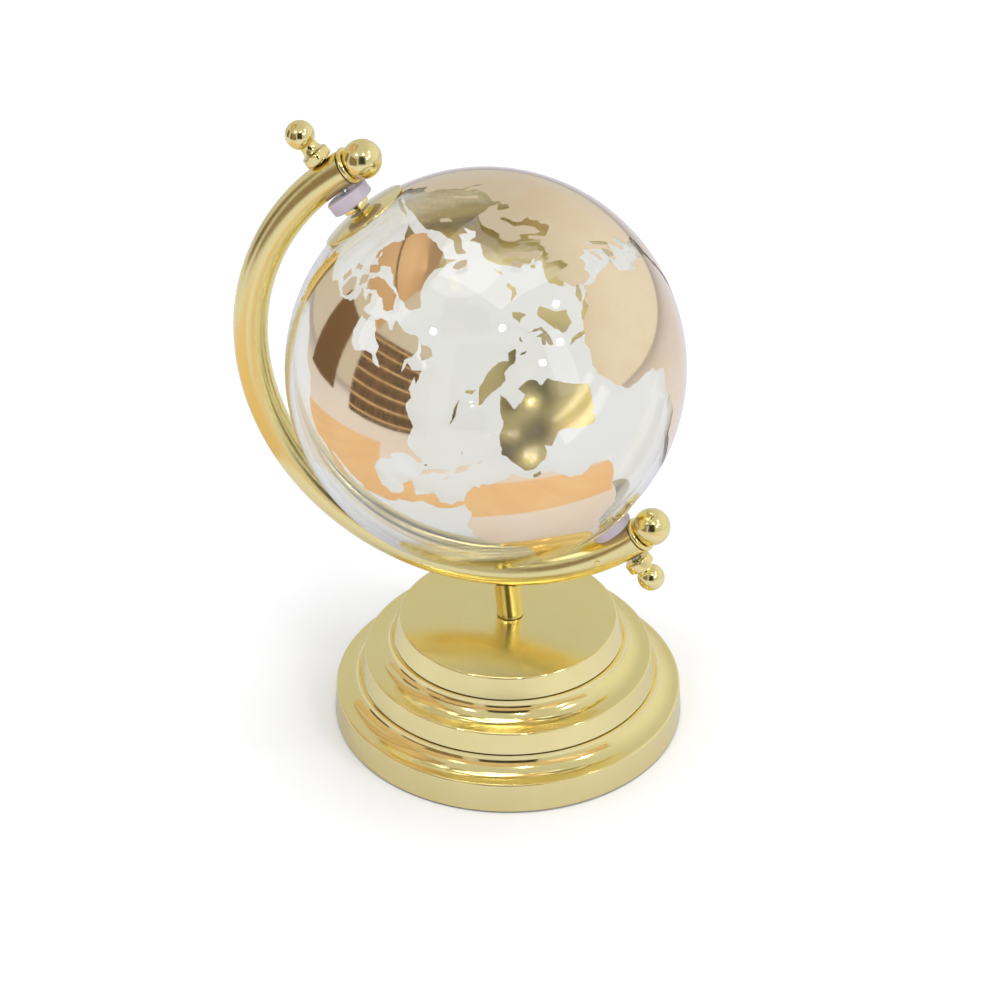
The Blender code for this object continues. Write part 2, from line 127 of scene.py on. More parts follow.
# Coastlines, as longitude and latitude in degrees, for each piece of foil
LANDS = {
    "foil_north_america": (
        (  # north america
         (-168, 65.6), (-162, 66.3), (-164, 68), (-166, 68.4), (-157, 71.2), (-150, 70.5), (-141, 69.6),
         (-135, 69), (-128, 70.3), (-121, 69.5), (-115, 68.2), (-108, 68), (-102, 67.8), (-97, 68.3),
         (-94, 69.5), (-94, 71.6), (-90, 69), (-86, 67.5), (-85, 69.6), (-81.5, 69), (-82, 67),
         (-86.5, 66.2), (-87, 64.5), (-90.5, 63.3), (-94, 61), (-94.7, 59), (-92.5, 57), (-88, 56.5),
         (-82.3, 55.2), (-82, 53), (-79.5, 51.2), (-79, 53), (-79.5, 54.7), (-77, 56.2), (-78.5, 58.8),
         (-77.5, 60), (-78, 62.4), (-73.5, 62.3), (-70, 61), (-69.5, 59), (-67.5, 58.3), (-64.7, 60.3),
         (-62.5, 58), (-61.5, 56.5), (-58, 54.8), (-56, 53), (-57.5, 51.4), (-60, 50.2), (-66, 50.2),
         (-69.5, 47.9), (-65, 49.2), (-64.5, 47), (-61, 45.6), (-63.5, 44.5), (-66, 43.6), (-65, 45.3),
         (-67, 44.8), (-70, 43.5), (-70.4, 41.8), (-74, 40.6), (-75.5, 38), (-75.7, 35.3), (-78, 33.9),
         (-81, 32), (-81.4, 30.5), (-80, 27), (-80.5, 25.2), (-81.8, 26), (-82.8, 28.5), (-84.2, 30),
         (-86.5, 30.4), (-89.4, 30.2), (-89.3, 29), (-91.5, 29.4), (-94.5, 29.4), (-97.2, 27.7),
         (-97.5, 25), (-97.8, 22), (-96, 19.2), (-94.3, 18.2), (-91.5, 18.6), (-90.4, 21), (-87, 21.5),
         (-87.5, 19), (-88.3, 17.5), (-88.8, 15.9), (-83.3, 15), (-83.6, 11), (-81, 8.9), (-79, 9.5),
         (-77.3, 8.6), (-78, 7.4), (-80.2, 7.4), (-82.8, 8.2), (-85.7, 10), (-87.6, 12.9), (-91.5, 14),
         (-94.5, 16.2), (-97.5, 15.8), (-102, 18), (-105.5, 20.3), (-105.5, 22.5), (-109, 25.6),
         (-112.8, 30.5), (-114.6, 31.7), (-113, 29), (-110.5, 24.6), (-109.5, 23), (-112, 24.8),
         (-114.5, 28), (-116.5, 31.5), (-117.3, 33), (-120.5, 34.5), (-122.5, 37.5), (-124.2, 40.5),
         (-124, 46.2), (-124.6, 48.4), (-123, 49), (-127.5, 51), (-130.5, 54.5), (-134, 58), (-140, 59.7),
         (-146, 60.7), (-148, 60), (-151.5, 59.3), (-154, 58.3), (-158.5, 56), (-163.5, 54.8), (-160, 56),
         (-157.5, 58.5), (-162, 58.8), (-165, 60.7), (-164.5, 63), (-161, 64.5), (-166, 64.5)),
        (  # newfoundland
         (-59, 47.7), (-56, 51.4), (-53, 48.5), (-54, 46.8)),
        (  # vancouver island
         (-128, 50.8), (-125, 50.1), (-123.6, 48.4)),
    ),
    "foil_arctic_islands": (
        (  # baffin island
         (-81, 73.5), (-76, 72.7), (-68, 70.3), (-62, 66.7), (-65, 63), (-72, 64.3), (-72.5, 67),
         (-78, 69.7), (-89, 70.5), (-89, 73)),
        (  # ellesmere island
         (-62, 82.5), (-75, 83.1), (-92, 81.5), (-86, 79.5), (-80, 76.3), (-76, 78.5), (-66, 80.7)),
        (  # devon island
         (-96, 76.8), (-80, 75.7), (-80, 74.6), (-92, 74.6)),
        (  # victoria island
         (-117, 70), (-113, 73), (-105, 73.2), (-101.5, 70.2), (-106, 69), (-113, 68.7)),
        (  # banks island
         (-125, 72), (-121, 74.3), (-115.5, 73.3), (-120, 71.3)),
        (  # melville island
         (-117, 76.2), (-107, 76.2), (-106, 75), (-115, 74.7)),
        (  # somerset island
         (-100, 73.8), (-91, 74), (-91, 72.3), (-98, 71.5)),
        (  # southampton island
         (-87, 65.5), (-81, 64), (-84, 62.8), (-87, 63.7)),
        (  # axel heiberg island
         (-96, 80.5), (-90, 80.9), (-88, 78.4), (-95, 78.6)),
    ),
    "foil_greenland": (
        (  # greenland
         (-88.8, 78.3), (-82.1, 76), (-68.6, 75.5), (-63.9, 72), (-62.5, 69), (-60.5, 66), (-56.5, 61.5),
         (-49.7, 60), (-45, 65), (-34.9, 67.8), (-24, 69.5), (-20, 72.5), (-17.3, 76), (-14.6, 80),
         (-30.8, 83.4), (-51, 82.7), (-71.3, 82), (-82.1, 80)),
        (  # iceland
         (-24, 65.5), (-20, 66.2), (-14.6, 65), (-18.5, 63.5), (-22.6, 63.9)),
        (  # svalbard
         (12, 79.5), (20, 80.4), (22, 78.3), (16, 76.7)),
    ),
    "foil_caribbean": (
        (  # cuba
         (-84.8, 21.9), (-82, 23.1), (-79, 22.6), (-74.3, 20.2), (-77.6, 19.9), (-79.5, 21.6)),
        (  # hispaniola
         (-74.4, 18.5), (-72.8, 19.9), (-68.5, 18.7), (-71.3, 17.8)),
        (  # jamaica
         (-78.3, 18.4), (-76.3, 18.1), (-77.5, 17.8)),
        (  # puerto rico
         (-67.2, 18.4), (-65.7, 18.4), (-66, 17.9), (-67.1, 17.9)),
    ),
    "foil_south_america": (
        (  # south america
         (-77.3, 8.5), (-75.5, 10.7), (-72, 12.2), (-71.3, 11), (-70, 12), (-68.3, 10.7), (-64.5, 10.2),
         (-61.8, 10.6), (-60, 8.4), (-57.2, 6), (-52, 4.9), (-50, 1.8), (-48.5, -0.8), (-44.5, -2.6),
         (-40, -2.8), (-37, -4.8), (-35.2, -5.6), (-34.9, -8), (-37, -11.5), (-39, -13.5), (-39.2, -17.5),
         (-41, -22), (-44.5, -23.1), (-48.5, -25.8), (-48.8, -28.5), (-52.3, -32.8), (-54.5, -34.8),
         (-58.3, -34), (-56.8, -36.5), (-57.7, -38.2), (-62, -39), (-65, -41), (-63.8, -42.6), (-65.3, -45),
         (-67.5, -46.3), (-65.8, -47.8), (-69, -50.5), (-68.4, -52.4), (-65.5, -54.8), (-69, -55.2),
         (-73, -53), (-75, -50), (-75.3, -46.7), (-73, -42), (-73.6, -38), (-71.6, -33), (-71.5, -30),
         (-70.2, -23), (-70.3, -18.3), (-76, -14), (-79.8, -7), (-81.3, -4.5), (-80, -3), (-80.9, -1),
         (-80, 0.8), (-78.8, 1.8), (-77.3, 4), (-77.6, 7)),
    ),
    "foil_africa": (
        (  # africa
         (-5.9, 35.8), (-2, 35.1), (3, 36.8), (10, 37.3), (11, 35), (10.2, 34), (15, 32.3), (19, 30.3),
         (20, 32.5), (23, 32.7), (29, 30.9), (32.3, 31.2), (32.6, 29.9), (35.5, 24), (37.3, 20),
         (39.5, 15.5), (43.2, 12.3), (43.2, 11.5), (45, 10.5), (51.2, 11.9), (49, 7), (46, 3), (42, -1.5),
         (39.3, -5), (40.5, -10.8), (40.7, -15), (35, -20), (35.4, -23.8), (32.8, -26), (32.3, -28.5),
         (30, -31.5), (25.7, -34), (20, -34.8), (18.3, -33.8), (17, -29), (14.5, -22.5), (11.8, -17.5),
         (13.7, -11), (12.2, -6), (9, -1), (9.7, 3.9), (8.3, 4.5), (5.7, 4.4), (4.4, 6.3), (1.2, 6),
         (-3, 5), (-7.6, 4.4), (-11.5, 6.9), (-13.3, 9), (-16.8, 12.4), (-17.5, 14.7), (-16.3, 19),
         (-17, 21), (-14.5, 26), (-13, 27.8), (-9.7, 30), (-9.3, 32.5), (-6.8, 34)),
        (  # madagascar
         (49.3, -12.2), (50.4, -15.7), (47, -25), (44, -24.8), (43.5, -21.5), (44.5, -16.2)),
    ),
    "foil_eurasia": (
        (  # eurasia
         (-5.6, 36.1), (-2, 36.8), (-0.3, 38.5), (-0.3, 39.5), (3.2, 42), (3.2, 43.2), (6.5, 43.2),
         (8.8, 44.4), (10.4, 43), (12.3, 41.8), (15.7, 40), (15.8, 38), (17, 39), (16.9, 40.5),
         (18.4, 40.2), (16, 41.9), (13.6, 43.6), (12.4, 45.3), (13.7, 45.3), (15, 44.5), (19.4, 41.9),
         (19.5, 40.5), (21.3, 37.8), (22.7, 36.6), (24, 38), (22.9, 39.2), (23.5, 40.3), (26.4, 40.5),
         (26.2, 39.5), (27.3, 37), (30.5, 36.5), (36, 36.5), (35.3, 33), (34.3, 31.3), (34.9, 29.4),
         (37.2, 25), (39, 21.5), (42.7, 16.4), (43.4, 12.7), (45, 12.8), (52.2, 15.7), (55.2, 17.2),
         (59.8, 22.5), (56.6, 24.6), (56.2, 26.2), (54, 24.2), (51.6, 24.6), (51.2, 26), (50, 26.8),
         (48, 30), (50.5, 30), (51.5, 27.9), (56.5, 27), (61.5, 25.2), (66.7, 25), (68.7, 23), (70.5, 20.9),
         (72.8, 21), (73.5, 16), (76.3, 9.8), (77.5, 8.1), (79.9, 10.3), (80.2, 13.5), (82.3, 16.7),
         (86.5, 20.2), (88.5, 21.7), (91.5, 22.5), (94.3, 18.5), (94.3, 16), (97.5, 16.5), (98.7, 12),
         (98.5, 8), (100.4, 6.2), (101.3, 3), (103.6, 1.4), (103.4, 4.5), (100.5, 7.3), (99.2, 10),
         (100, 13.4), (101, 12.6), (103, 10.7), (105, 8.7), (109, 11.5), (109, 13.5), (105.8, 18.8),
         (108, 21.6), (110.2, 20.5), (113.5, 22.2), (117, 23.5), (119.8, 26), (121.8, 29), (121.8, 31),
         (119.3, 34.8), (120.5, 36.2), (122.5, 37.2), (119, 37.3), (117.8, 38.7), (121.3, 40.8),
         (121.2, 39), (124.4, 40), (125, 38), (126.4, 36.7), (126.4, 34.5), (129.3, 35.5), (129.4, 37),
         (127.6, 39.5), (130.7, 42.3), (135, 43.5), (140.3, 48), (141.3, 52.8), (137.3, 54), (140, 57.5),
         (143, 59.3), (151, 59.3), (155, 59.5), (157, 61.6), (163, 61.8), (162, 60), (156.5, 57),
         (156.6, 51.2), (160, 53), (162.5, 56.3), (163.5, 59.8), (170.5, 60.2), (178.5, 62.5), (178, 64.5),
         (182, 65.3), (187, 64.5), (190, 66), (185, 67.2), (180, 69), (170, 69.6), (161, 69.5), (152, 71),
         (140, 72.5), (129, 71.5), (127, 73.3), (113, 73.8), (113, 76), (104, 77.6), (98, 76), (87, 75),
         (80.5, 73.6), (75, 72.6), (73.8, 68.5), (72, 67), (72.8, 71.5), (69.5, 73), (66.8, 70), (60, 69),
         (54, 68.5), (46, 68.3), (44, 66.2), (40.5, 66), (40.5, 64.6), (35, 64.3), (33, 66.7), (41, 66.8),
         (36, 69.2), (28, 71), (20, 70), (15, 68.5), (12.5, 66), (9.5, 63.7), (5, 62), (5.3, 59), (8, 58.1),
         (10.6, 59.3), (12.7, 56.2), (14.3, 55.5), (16.5, 56.8), (18.8, 59.8), (17.3, 61.5), (21.5, 64.5),
         (24, 65.8), (25.3, 65), (21.5, 62.5), (21.7, 60.7), (25, 60.1), (29.8, 60), (24, 59.2),
         (23.5, 57.3), (21.2, 57), (21, 55.3), (18.8, 54.4), (14.2, 54), (11, 54), (10.7, 56.5),
         (10.4, 57.6), (8.2, 56.8), (8.8, 54), (5, 53.3), (3.8, 51.8), (1.6, 50.8), (0.2, 49.5),
         (-1.6, 49.6), (-1.5, 48.6), (-4.7, 48.4), (-1.2, 46), (-1.5, 43.5), (-8, 43.7), (-9, 42),
         (-9.4, 38.8), (-8.9, 37), (-6.3, 36.7)),
        (  # great britain
         (-5.5, 50.1), (1.3, 51.2), (1.6, 52.7), (-1.3, 54.7), (-2, 57.6), (-3.5, 58.6), (-5.8, 57.8),
         (-4.9, 55), (-3.1, 54), (-4.6, 53.2), (-4.6, 51.8), (-3, 51.5)),
        (  # ireland
         (-9.8, 51.6), (-6.3, 52.2), (-6, 54.4), (-8, 55.3), (-9.8, 54)),
        (  # novaya zemlya
         (52, 71), (57, 70.7), (60, 74), (68, 76.7), (60, 76), (54, 73.5)),
        (  # corsica sardinia
         (8.4, 39), (8.6, 42.5), (9.5, 42.8), (9.7, 40), (9, 39)),
        (  # sicily
         (12.5, 38), (15.6, 38.2), (15, 36.7)),
        (  # crete
         (23.6, 35.5), (26.3, 35.3), (25, 34.9)),
        (  # cyprus
         (32.3, 35), (34.5, 35.6), (33.5, 34.6)),
        (  # sri lanka
         (80, 9.6), (81.8, 7.5), (80.5, 6), (79.8, 8)),
        (  # hainan
         (108.8, 19.3), (110.6, 20), (110.8, 19), (109.3, 18.3)),
        (  # taiwan
         (121.5, 25.2), (121.9, 24.8), (120.8, 22), (120.1, 23)),
        (  # sakhalin
         (142, 46), (143.5, 49), (143, 54), (142.2, 51)),
    ),
    "foil_japan": (
        (  # kyushu
         (130, 33.6), (131.9, 33), (131, 31.2), (129.8, 32.6)),
        (  # honshu
         (131, 34.3), (135.5, 34.6), (136.8, 34.2), (140, 35), (141, 36.5), (142, 39.6), (141.3, 41.4),
         (140, 40), (138.5, 37.5), (136.7, 37), (133, 35.5)),
        (  # hokkaido
         (140, 41.6), (143.2, 42), (145.5, 43.3), (141.9, 45.5), (140.3, 43.2)),
    ),
    "foil_southeast_islands": (
        (  # sumatra
         (95.3, 5.6), (98.5, 3.7), (103.5, 0), (106, -3), (105.7, -5.8), (102, -4), (98.8, 1.5)),
        (  # java
         (105.3, -6.6), (108.5, -6.6), (112.6, -6.8), (114.5, -8.4), (108.5, -7.8)),
        (  # borneo
         (109.2, 1.8), (111.3, 2.5), (113.5, 3.5), (117, 7), (119, 5.2), (117.8, 2), (116.5, -1.5),
         (114.6, -4), (110.2, -2.8)),
        (  # sulawesi
         (120, 1.2), (124.9, 1.6), (120.8, 0.4), (120.4, -0.9), (123.3, -0.8), (121.7, -1.9), (122.8, -4),
         (121.5, -4.6), (120.9, -2.8), (120.4, -5.6), (119.4, -5.5), (118.9, -2.8), (119.8, -0.1)),
        (  # luzon
         (120.6, 18.5), (122.2, 18.4), (121.5, 15.8), (124, 12.7), (120.6, 14), (119.9, 16)),
        (  # mindanao
         (122, 7), (125.5, 5.6), (126.5, 8), (125.4, 9.8), (123.4, 8.6)),
        (  # timor
         (123.6, -10.3), (127, -8.3), (125, -8.9)),
        (  # halmahera
         (127.6, 1.8), (128.6, 1), (128, -0.8)),
        (  # seram
         (128, -3.1), (130.8, -3.2), (129, -3.6)),
    ),
    "foil_australia": (
        (  # australia
         (113.7, -22.5), (114, -26.5), (115.7, -31.8), (115.1, -34.3), (118, -35), (123.5, -34),
         (129, -31.6), (131.2, -31.5), (135.8, -34.8), (137.9, -33), (138.2, -35.5), (140.5, -38),
         (144, -38.5), (146.3, -39), (149.9, -37.4), (151.3, -33.5), (153.4, -28.2), (150.8, -23.5),
         (146.3, -18.9), (145.3, -15), (142.6, -10.8), (141.6, -13.5), (140.9, -17.5), (138, -16.6),
         (135.5, -15), (136.8, -12.2), (132.5, -11.4), (130.5, -12.6), (129.6, -15), (126.5, -14),
         (122.3, -17.8), (119, -20)),
        (  # tasmania
         (144.7, -40.8), (148.3, -40.9), (147.5, -43.3), (145.8, -43.3)),
    ),
    "foil_pacific_islands": (
        (  # new guinea
         (131, -0.8), (134, -0.9), (135, -3.2), (138, -1.7), (144.5, -3.9), (147.8, -6.2), (150.8, -10.4),
         (147, -9.5), (143.3, -9), (139, -8), (138, -5.6), (133, -4)),
        (  # new britain
         (148.4, -5.6), (152.2, -4.2), (150.5, -6.2)),
        (  # solomon islands
         (155, -5.5), (159.5, -8.5), (162, -10.7), (158, -8.6)),
        (  # new caledonia
         (164, -20.2), (167, -22.3), (165.5, -21.7)),
        (  # fiji
         (177.3, -17.8), (178.6, -17.7), (178, -18.4)),
        (  # hawaii
         (-156, 20.2), (-154.9, 19.5), (-155.8, 19)),
        (  # new zealand north
         (172.7, -34.5), (175.5, -37), (178.4, -37.8), (176.8, -40), (175, -41.5), (173.9, -39.3),
         (174.8, -37)),
        (  # new zealand south
         (172.8, -40.6), (174.2, -41.6), (170.8, -45.8), (168.5, -46.6), (166.6, -45.8), (170.5, -43)),
    ),
}


# Node materials
def node(tree, kind, inputs=None, **settings):
    """A shader node with its settings, its inputs given as values or as sockets to link."""
    item = tree.nodes.new(kind)
    for name, value in settings.items():
        setattr(item, name, value)
    for name, value in (inputs or {}).items():
        if isinstance(value, bpy.types.NodeSocket):
            tree.links.new(value, item.inputs[name])
        else:
            item.inputs[name].default_value = value
    return item


def principled(name, **values):
    """A material with one Principled shader, its plain values set on the shader's own sockets."""
    material = bpy.data.materials.new(name)
    material.use_nodes = True
    tree = material.node_tree
    tree.nodes.clear()
    shader = node(tree, "ShaderNodeBsdfPrincipled", values)
    output = node(tree, "ShaderNodeOutputMaterial")
    tree.links.new(shader.outputs["BSDF"], output.inputs["Surface"])
    return material, tree, shader


def place(tree):
    return node(tree, "ShaderNodeTexCoord").outputs["Object"]


def noise(tree, vector, scale, detail=3.0, roughness=0.5):
    return node(tree, "ShaderNodeTexNoise", {
        "Vector": vector, "Scale": scale, "Detail": detail, "Roughness": roughness}).outputs["Fac"]


def remap(tree, value, low, high, to_low, to_high, smooth=False):
    kind = "SMOOTHSTEP" if smooth else "LINEAR"
    return node(tree, "ShaderNodeMapRange", {
        "Value": value, "From Min": low, "From Max": high, "To Min": to_low, "To Max": to_high},
        interpolation_type=kind).outputs["Result"]


def sums(tree, kind, first, second):
    item = node(tree, "ShaderNodeMath", operation=kind)
    for socket, value in zip(item.inputs, (first, second)):
        if isinstance(value, bpy.types.NodeSocket):
            tree.links.new(value, socket)
        else:
            socket.default_value = value
    return item.outputs["Value"]


def mixed(tree, factor, first, second):
    item = node(tree, "ShaderNodeMix", {"Factor": factor}, data_type="RGBA")
    item.inputs["A"].default_value = (*first, 1)
    item.inputs["B"].default_value = (*second, 1)
    return item.outputs["Result"]


def bump(tree, shader, height, strength, distance):
    result = node(tree, "ShaderNodeBump", {
        "Height": height, "Strength": strength, "Distance": distance})
    tree.links.new(result.outputs["Normal"], shader.inputs["Normal"])


PLATE_LIGHT = (0.965, 0.83, 0.39)
PLATE_DEEP = (0.945, 0.80, 0.35)


def gold(name, polished, flat, marks="none"):
    """Gold plate: polished where it slopes and satin where it lies flat, with haze, fine marks and rare pits.

    Marks are "turned", in rings round Z, "drawn", along the arm's tube, or "none"."""
    material, tree, shader = principled(name, Metallic=1.0)
    where = place(tree)
    haze = noise(tree, where, 55, 4)
    fine = noise(tree, where, 1100, 2)
    pits = remap(tree, noise(tree, where, 500, 0), 0.82, 0.86, 0.0, 1.0)
    upward = node(tree, "ShaderNodeSeparateXYZ", {
        "Vector": node(tree, "ShaderNodeNewGeometry").outputs["Normal"]}).outputs["Z"]
    lying = remap(tree, upward, 0.97, 0.9985, polished, flat, True)
    rough = sums(tree, "MULTIPLY", lying, remap(tree, haze, 0.3, 0.7, 0.85, 1.2))
    rough = sums(tree, "ADD", rough, remap(tree, fine, 0.3, 0.7, 0.0, 0.02))
    rough = sums(tree, "ADD", rough, sums(tree, "MULTIPLY", pits, 0.05))
    height = sums(tree, "ADD", noise(tree, where, 30, 1), sums(tree, "MULTIPLY", fine, 0.006))
    height = sums(tree, "SUBTRACT", height, sums(tree, "MULTIPLY", pits, 0.02))
    if marks != "none":
        lines = noise(tree, mark_place(tree, where, marks), 1, 2)
        mark_depth = 0.06 if marks == "drawn" else 0.004
        rough = sums(tree, "ADD", rough, remap(tree, lines, 0.3, 0.7, 0.0, mark_depth))
        height = sums(tree, "ADD", height, sums(tree, "MULTIPLY", lines, mark_depth))
    tree.links.new(rough, shader.inputs["Roughness"])
    tree.links.new(mixed(tree, remap(tree, haze, 0.35, 0.65, 0.0, 1.0), PLATE_DEEP, PLATE_LIGHT),
                   shader.inputs["Base Color"])
    bump(tree, shader, height, 0.35, 0.06 * MM)
    return material


def mark_place(tree, where, marks):
    """A texture place that hardly changes along the tool's path, so noise on it makes fine lines."""
    centre = ARM_CENTRE if marks == "drawn" else Vector((0, 0, 0))
    moved = node(tree, "ShaderNodeVectorMath", {0: where}, operation="SUBTRACT")
    moved.inputs[1].default_value = centre
    parts = node(tree, "ShaderNodeSeparateXYZ", {"Vector": moved.outputs["Vector"]})
    flat, other = ("Z", "Y") if marks == "drawn" else ("Y", "Z")
    squares = [sums(tree, "MULTIPLY", parts.outputs[name], parts.outputs[name]) for name in ("X", flat)]
    radius = sums(tree, "SQRT", sums(tree, "ADD", *squares), 0.0)
    return node(tree, "ShaderNodeCombineXYZ", {
        "X": sums(tree, "MULTIPLY", radius, 2600.0),
        "Y": sums(tree, "MULTIPLY", parts.outputs[other], 2600.0),
        "Z": sums(tree, "MULTIPLY", parts.outputs["X"], 25.0)}).outputs["Vector"]


def foil(name, light, dark, softness=0.04, metallic=1.0, grain=0.03):
    """Mirror foil on the glass, a little wavy, with thin patches."""
    material, tree, shader = principled(name, Metallic=metallic)
    where = place(tree)
    patches = remap(tree, noise(tree, where, 45, 5, 0.6), 0.35, 0.7, 0.0, 1.0)
    tree.links.new(mixed(tree, patches, light, dark), shader.inputs["Base Color"])
    fine = noise(tree, where, 1100, 2)
    thin = remap(tree, patches, 0.0, 1.0, softness, softness + 0.045)
    rough = sums(tree, "ADD", thin, remap(tree, fine, 0.4, 0.7, 0.0, 0.04))
    tree.links.new(rough, shader.inputs["Roughness"])
    waves = sums(tree, "ADD", noise(tree, where, 26, 1), sums(tree, "MULTIPLY", fine, grain))
    bump(tree, shader, waves, 0.3, 0.12 * MM)
    return material


def glass():
    material, tree, shader = principled("clear_blown_glass", Metallic=0.0, IOR=1.48, **{
        "Transmission Weight": 1.0})
    where = place(tree)
    tint = mixed(tree, noise(tree, where, 12, 2), (0.955, 0.955, 0.945), (0.97, 0.97, 0.965))
    tree.links.new(tint, shader.inputs["Base Color"])
    smears = remap(tree, noise(tree, where, 40, 5, 0.65), 0.55, 0.8, 0.0, 0.03)
    tree.links.new(smears, shader.inputs["Roughness"])
    bump(tree, shader, noise(tree, where, 18, 1), 0.12, 0.1 * MM)
    return material


def lilac():
    material, tree, shader = principled("lilac_resin", Metallic=0.0, IOR=1.5, **{
        "Transmission Weight": 0.35, "Subsurface Weight": 0.25, "Subsurface Scale": 0.002})
    where = place(tree)
    clouds = remap(tree, noise(tree, where, 160, 2), 0.3, 0.7, 0.0, 1.0)
    tree.links.new(mixed(tree, clouds, (0.80, 0.70, 0.80), (0.75, 0.68, 0.80)), shader.inputs["Base Color"])
    tree.links.new(remap(tree, noise(tree, where, 900, 2), 0.3, 0.7, 0.3, 0.4), shader.inputs["Roughness"])
    bump(tree, shader, noise(tree, where, 300, 2), 0.12, 0.03 * MM)
    return material


def nylon():
    material, tree, shader = principled("white_nylon", Metallic=0.0, **{
        "Subsurface Weight": 0.1, "Subsurface Scale": 0.001})
    where = place(tree)
    tree.links.new(mixed(tree, noise(tree, where, 300, 3), (0.80, 0.79, 0.76), (0.70, 0.69, 0.66)),
                   shader.inputs["Base Color"])
    tree.links.new(remap(tree, noise(tree, where, 1500, 2), 0.3, 0.7, 0.4, 0.6), shader.inputs["Roughness"])
    bump(tree, shader, noise(tree, where, 2000, 2), 0.3, 0.03 * MM)
    return material


def steel():
    material, tree, shader = principled("zinc_plated_steel", Metallic=1.0)
    where = place(tree)
    cloudy = noise(tree, where, 250, 4)
    tree.links.new(mixed(tree, cloudy, (0.48, 0.49, 0.50), (0.62, 0.62, 0.60)), shader.inputs["Base Color"])
    tree.links.new(remap(tree, cloudy, 0.3, 0.7, 0.22, 0.42), shader.inputs["Roughness"])
    bump(tree, shader, noise(tree, where, 1800, 3), 0.3, 0.03 * MM)
    return material


def iron():
    material, tree, shader = principled("sand_cast_iron", Metallic=0.4)
    where = place(tree)
    grain = noise(tree, where, 500, 5, 0.65)
    tree.links.new(mixed(tree, grain, (0.06, 0.06, 0.065), (0.12, 0.10, 0.09)), shader.inputs["Base Color"])
    tree.links.new(remap(tree, grain, 0.3, 0.7, 0.6, 0.85), shader.inputs["Roughness"])
    bump(tree, shader, grain, 0.7, 0.3 * MM)
    return material


def felt():
    material, tree, shader = principled("black_felt", Metallic=0.0, Roughness=0.95, **{
        "Sheen Weight": 0.4})
    where = place(tree)
    fibres = noise(tree, where, 1300, 6, 0.7)
    tree.links.new(mixed(tree, fibres, (0.018, 0.018, 0.021), (0.05, 0.05, 0.055)),
                   shader.inputs["Base Color"])
    bump(tree, shader, fibres, 0.8, 0.25 * MM)
    return material


# Meshes
def finish_piece(name, mesh, materials, body, replaced=(), crease=32):
    for material in materials:
        mesh.materials.append(material)
    mesh.polygons.foreach_set("use_smooth", [True] * len(mesh.polygons))
    mesh.set_sharp_from_angle(angle=math.radians(crease))
    piece = bpy.data.objects.new(name, mesh)
    bpy.context.scene.collection.objects.link(piece)
    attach(piece, body)
    if replaced:
        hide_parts(*replaced)


def arc(centre, radius, start, end, steps):
    """Points round a circle, as radius and height, for angles in degrees above the horizontal."""
    points = []
    for index in range(steps + 1):
        angle = math.radians(start + (end - start) * index / steps)
        points.append((centre[0] + radius * math.cos(angle), centre[1] + radius * math.sin(angle)))
    return points


def mesh_of(bm, name):
    bmesh.ops.recalc_face_normals(bm, faces=bm.faces)
    mesh = bpy.data.meshes.new(name)
    bm.to_mesh(mesh)
    bm.free()
    return mesh


def join_rings(bm, first, second):
    """A band of four-cornered faces between two rings of as many corners."""
    for index, corner in enumerate(first):
        after = (index + 1) % len(first)
        bm.faces.new((corner, first[after], second[after], second[index]))


def turned_mesh(name, outline, matrix=None, segments=ROUND):
    """A closed outline of radius and height, turned about Z; points on the axis become one corner."""
    matrix = matrix or Matrix.Identity(4)
    bm = bmesh.new()
    rings = []
    for radius, height in outline:
        if radius < 1e-7:
            corner = bm.verts.new(matrix @ Vector((0, 0, height)))
            rings.append([corner] * segments)
            continue
        ring = []
        for index in range(segments):
            angle = TURN * index / segments
            spot = Vector((radius * math.cos(angle), radius * math.sin(angle), height))
            ring.append(bm.verts.new(matrix @ spot))
        rings.append(ring)
    for first, second in zip(rings, rings[1:] + rings[:1]):
        for index in range(segments):
            after = (index + 1) % segments
            corners = []
            for corner in (first[index], first[after], second[after], second[index]):
                if corner not in corners:
                    corners.append(corner)
            if len(corners) > 2:
                bm.faces.new(corners)
    return mesh_of(bm, name)


def turned(name, outline, material, matrix=None, segments=ROUND_SMALL, body="stand",
           replaced=(), crease=32):
    mesh = turned_mesh(name, outline, matrix, segments)
    finish_piece(name, mesh, (material,), body, replaced, crease)


def pivot_matrix(lower):
    upper = Matrix.Translation(ARM_CENTRE) @ Matrix.Rotation(-TILT, 4, "Y")
    return upper @ Matrix.Rotation(math.pi, 4, "X") if lower else upper


def end_matrix(lower, distance):
    """On the tube's centreline, past the pivot by a distance, with Z pointing out of the tube's end."""
    swing = Matrix.Rotation(distance / ARM_RADIUS, 4, "Y")
    out = Matrix.Translation((0, 0, ARM_RADIUS)) @ Matrix.Rotation(math.pi / 2, 4, "Y")
    return pivot_matrix(lower) @ swing @ out


def rounded(points, radius, steps=5):
    """The closed outline with each corner that isn't on the axis rounded by an arc-like curve."""
    result = []
    count = len(points)
    for index in range(count):
        before, here, after = (Vector(points[(index + shift) % count]) for shift in (-1, 0, 1))
        back = before - here
        ahead = after - here
        cut = min(radius, back.length * 0.45, ahead.length * 0.45)
        if here.x < 1e-7 or cut < 1e-6:
            result.append(tuple(here))
            continue
        start = here + back.normalized() * cut
        end = here + ahead.normalized() * cut
        for step in range(steps + 1):
            share = step / steps
            curve = start * (1 - share) ** 2 + here * 2 * share * (1 - share) + end * share ** 2
            result.append(tuple(curve))
    return result


# Base
def wall_outline(edge_radius, top, foot_radius, foot):
    corner = (edge_radius - EDGE_ROUND, top - EDGE_ROUND)
    lip = 0.25 * MM
    down = (foot - top) / abs(foot - top)
    foot_lip = [(foot_radius - lip / 4, foot - down * lip), (foot_radius - lip, foot)]
    return arc(corner, EDGE_ROUND, 90, 8, 8) + foot_lip


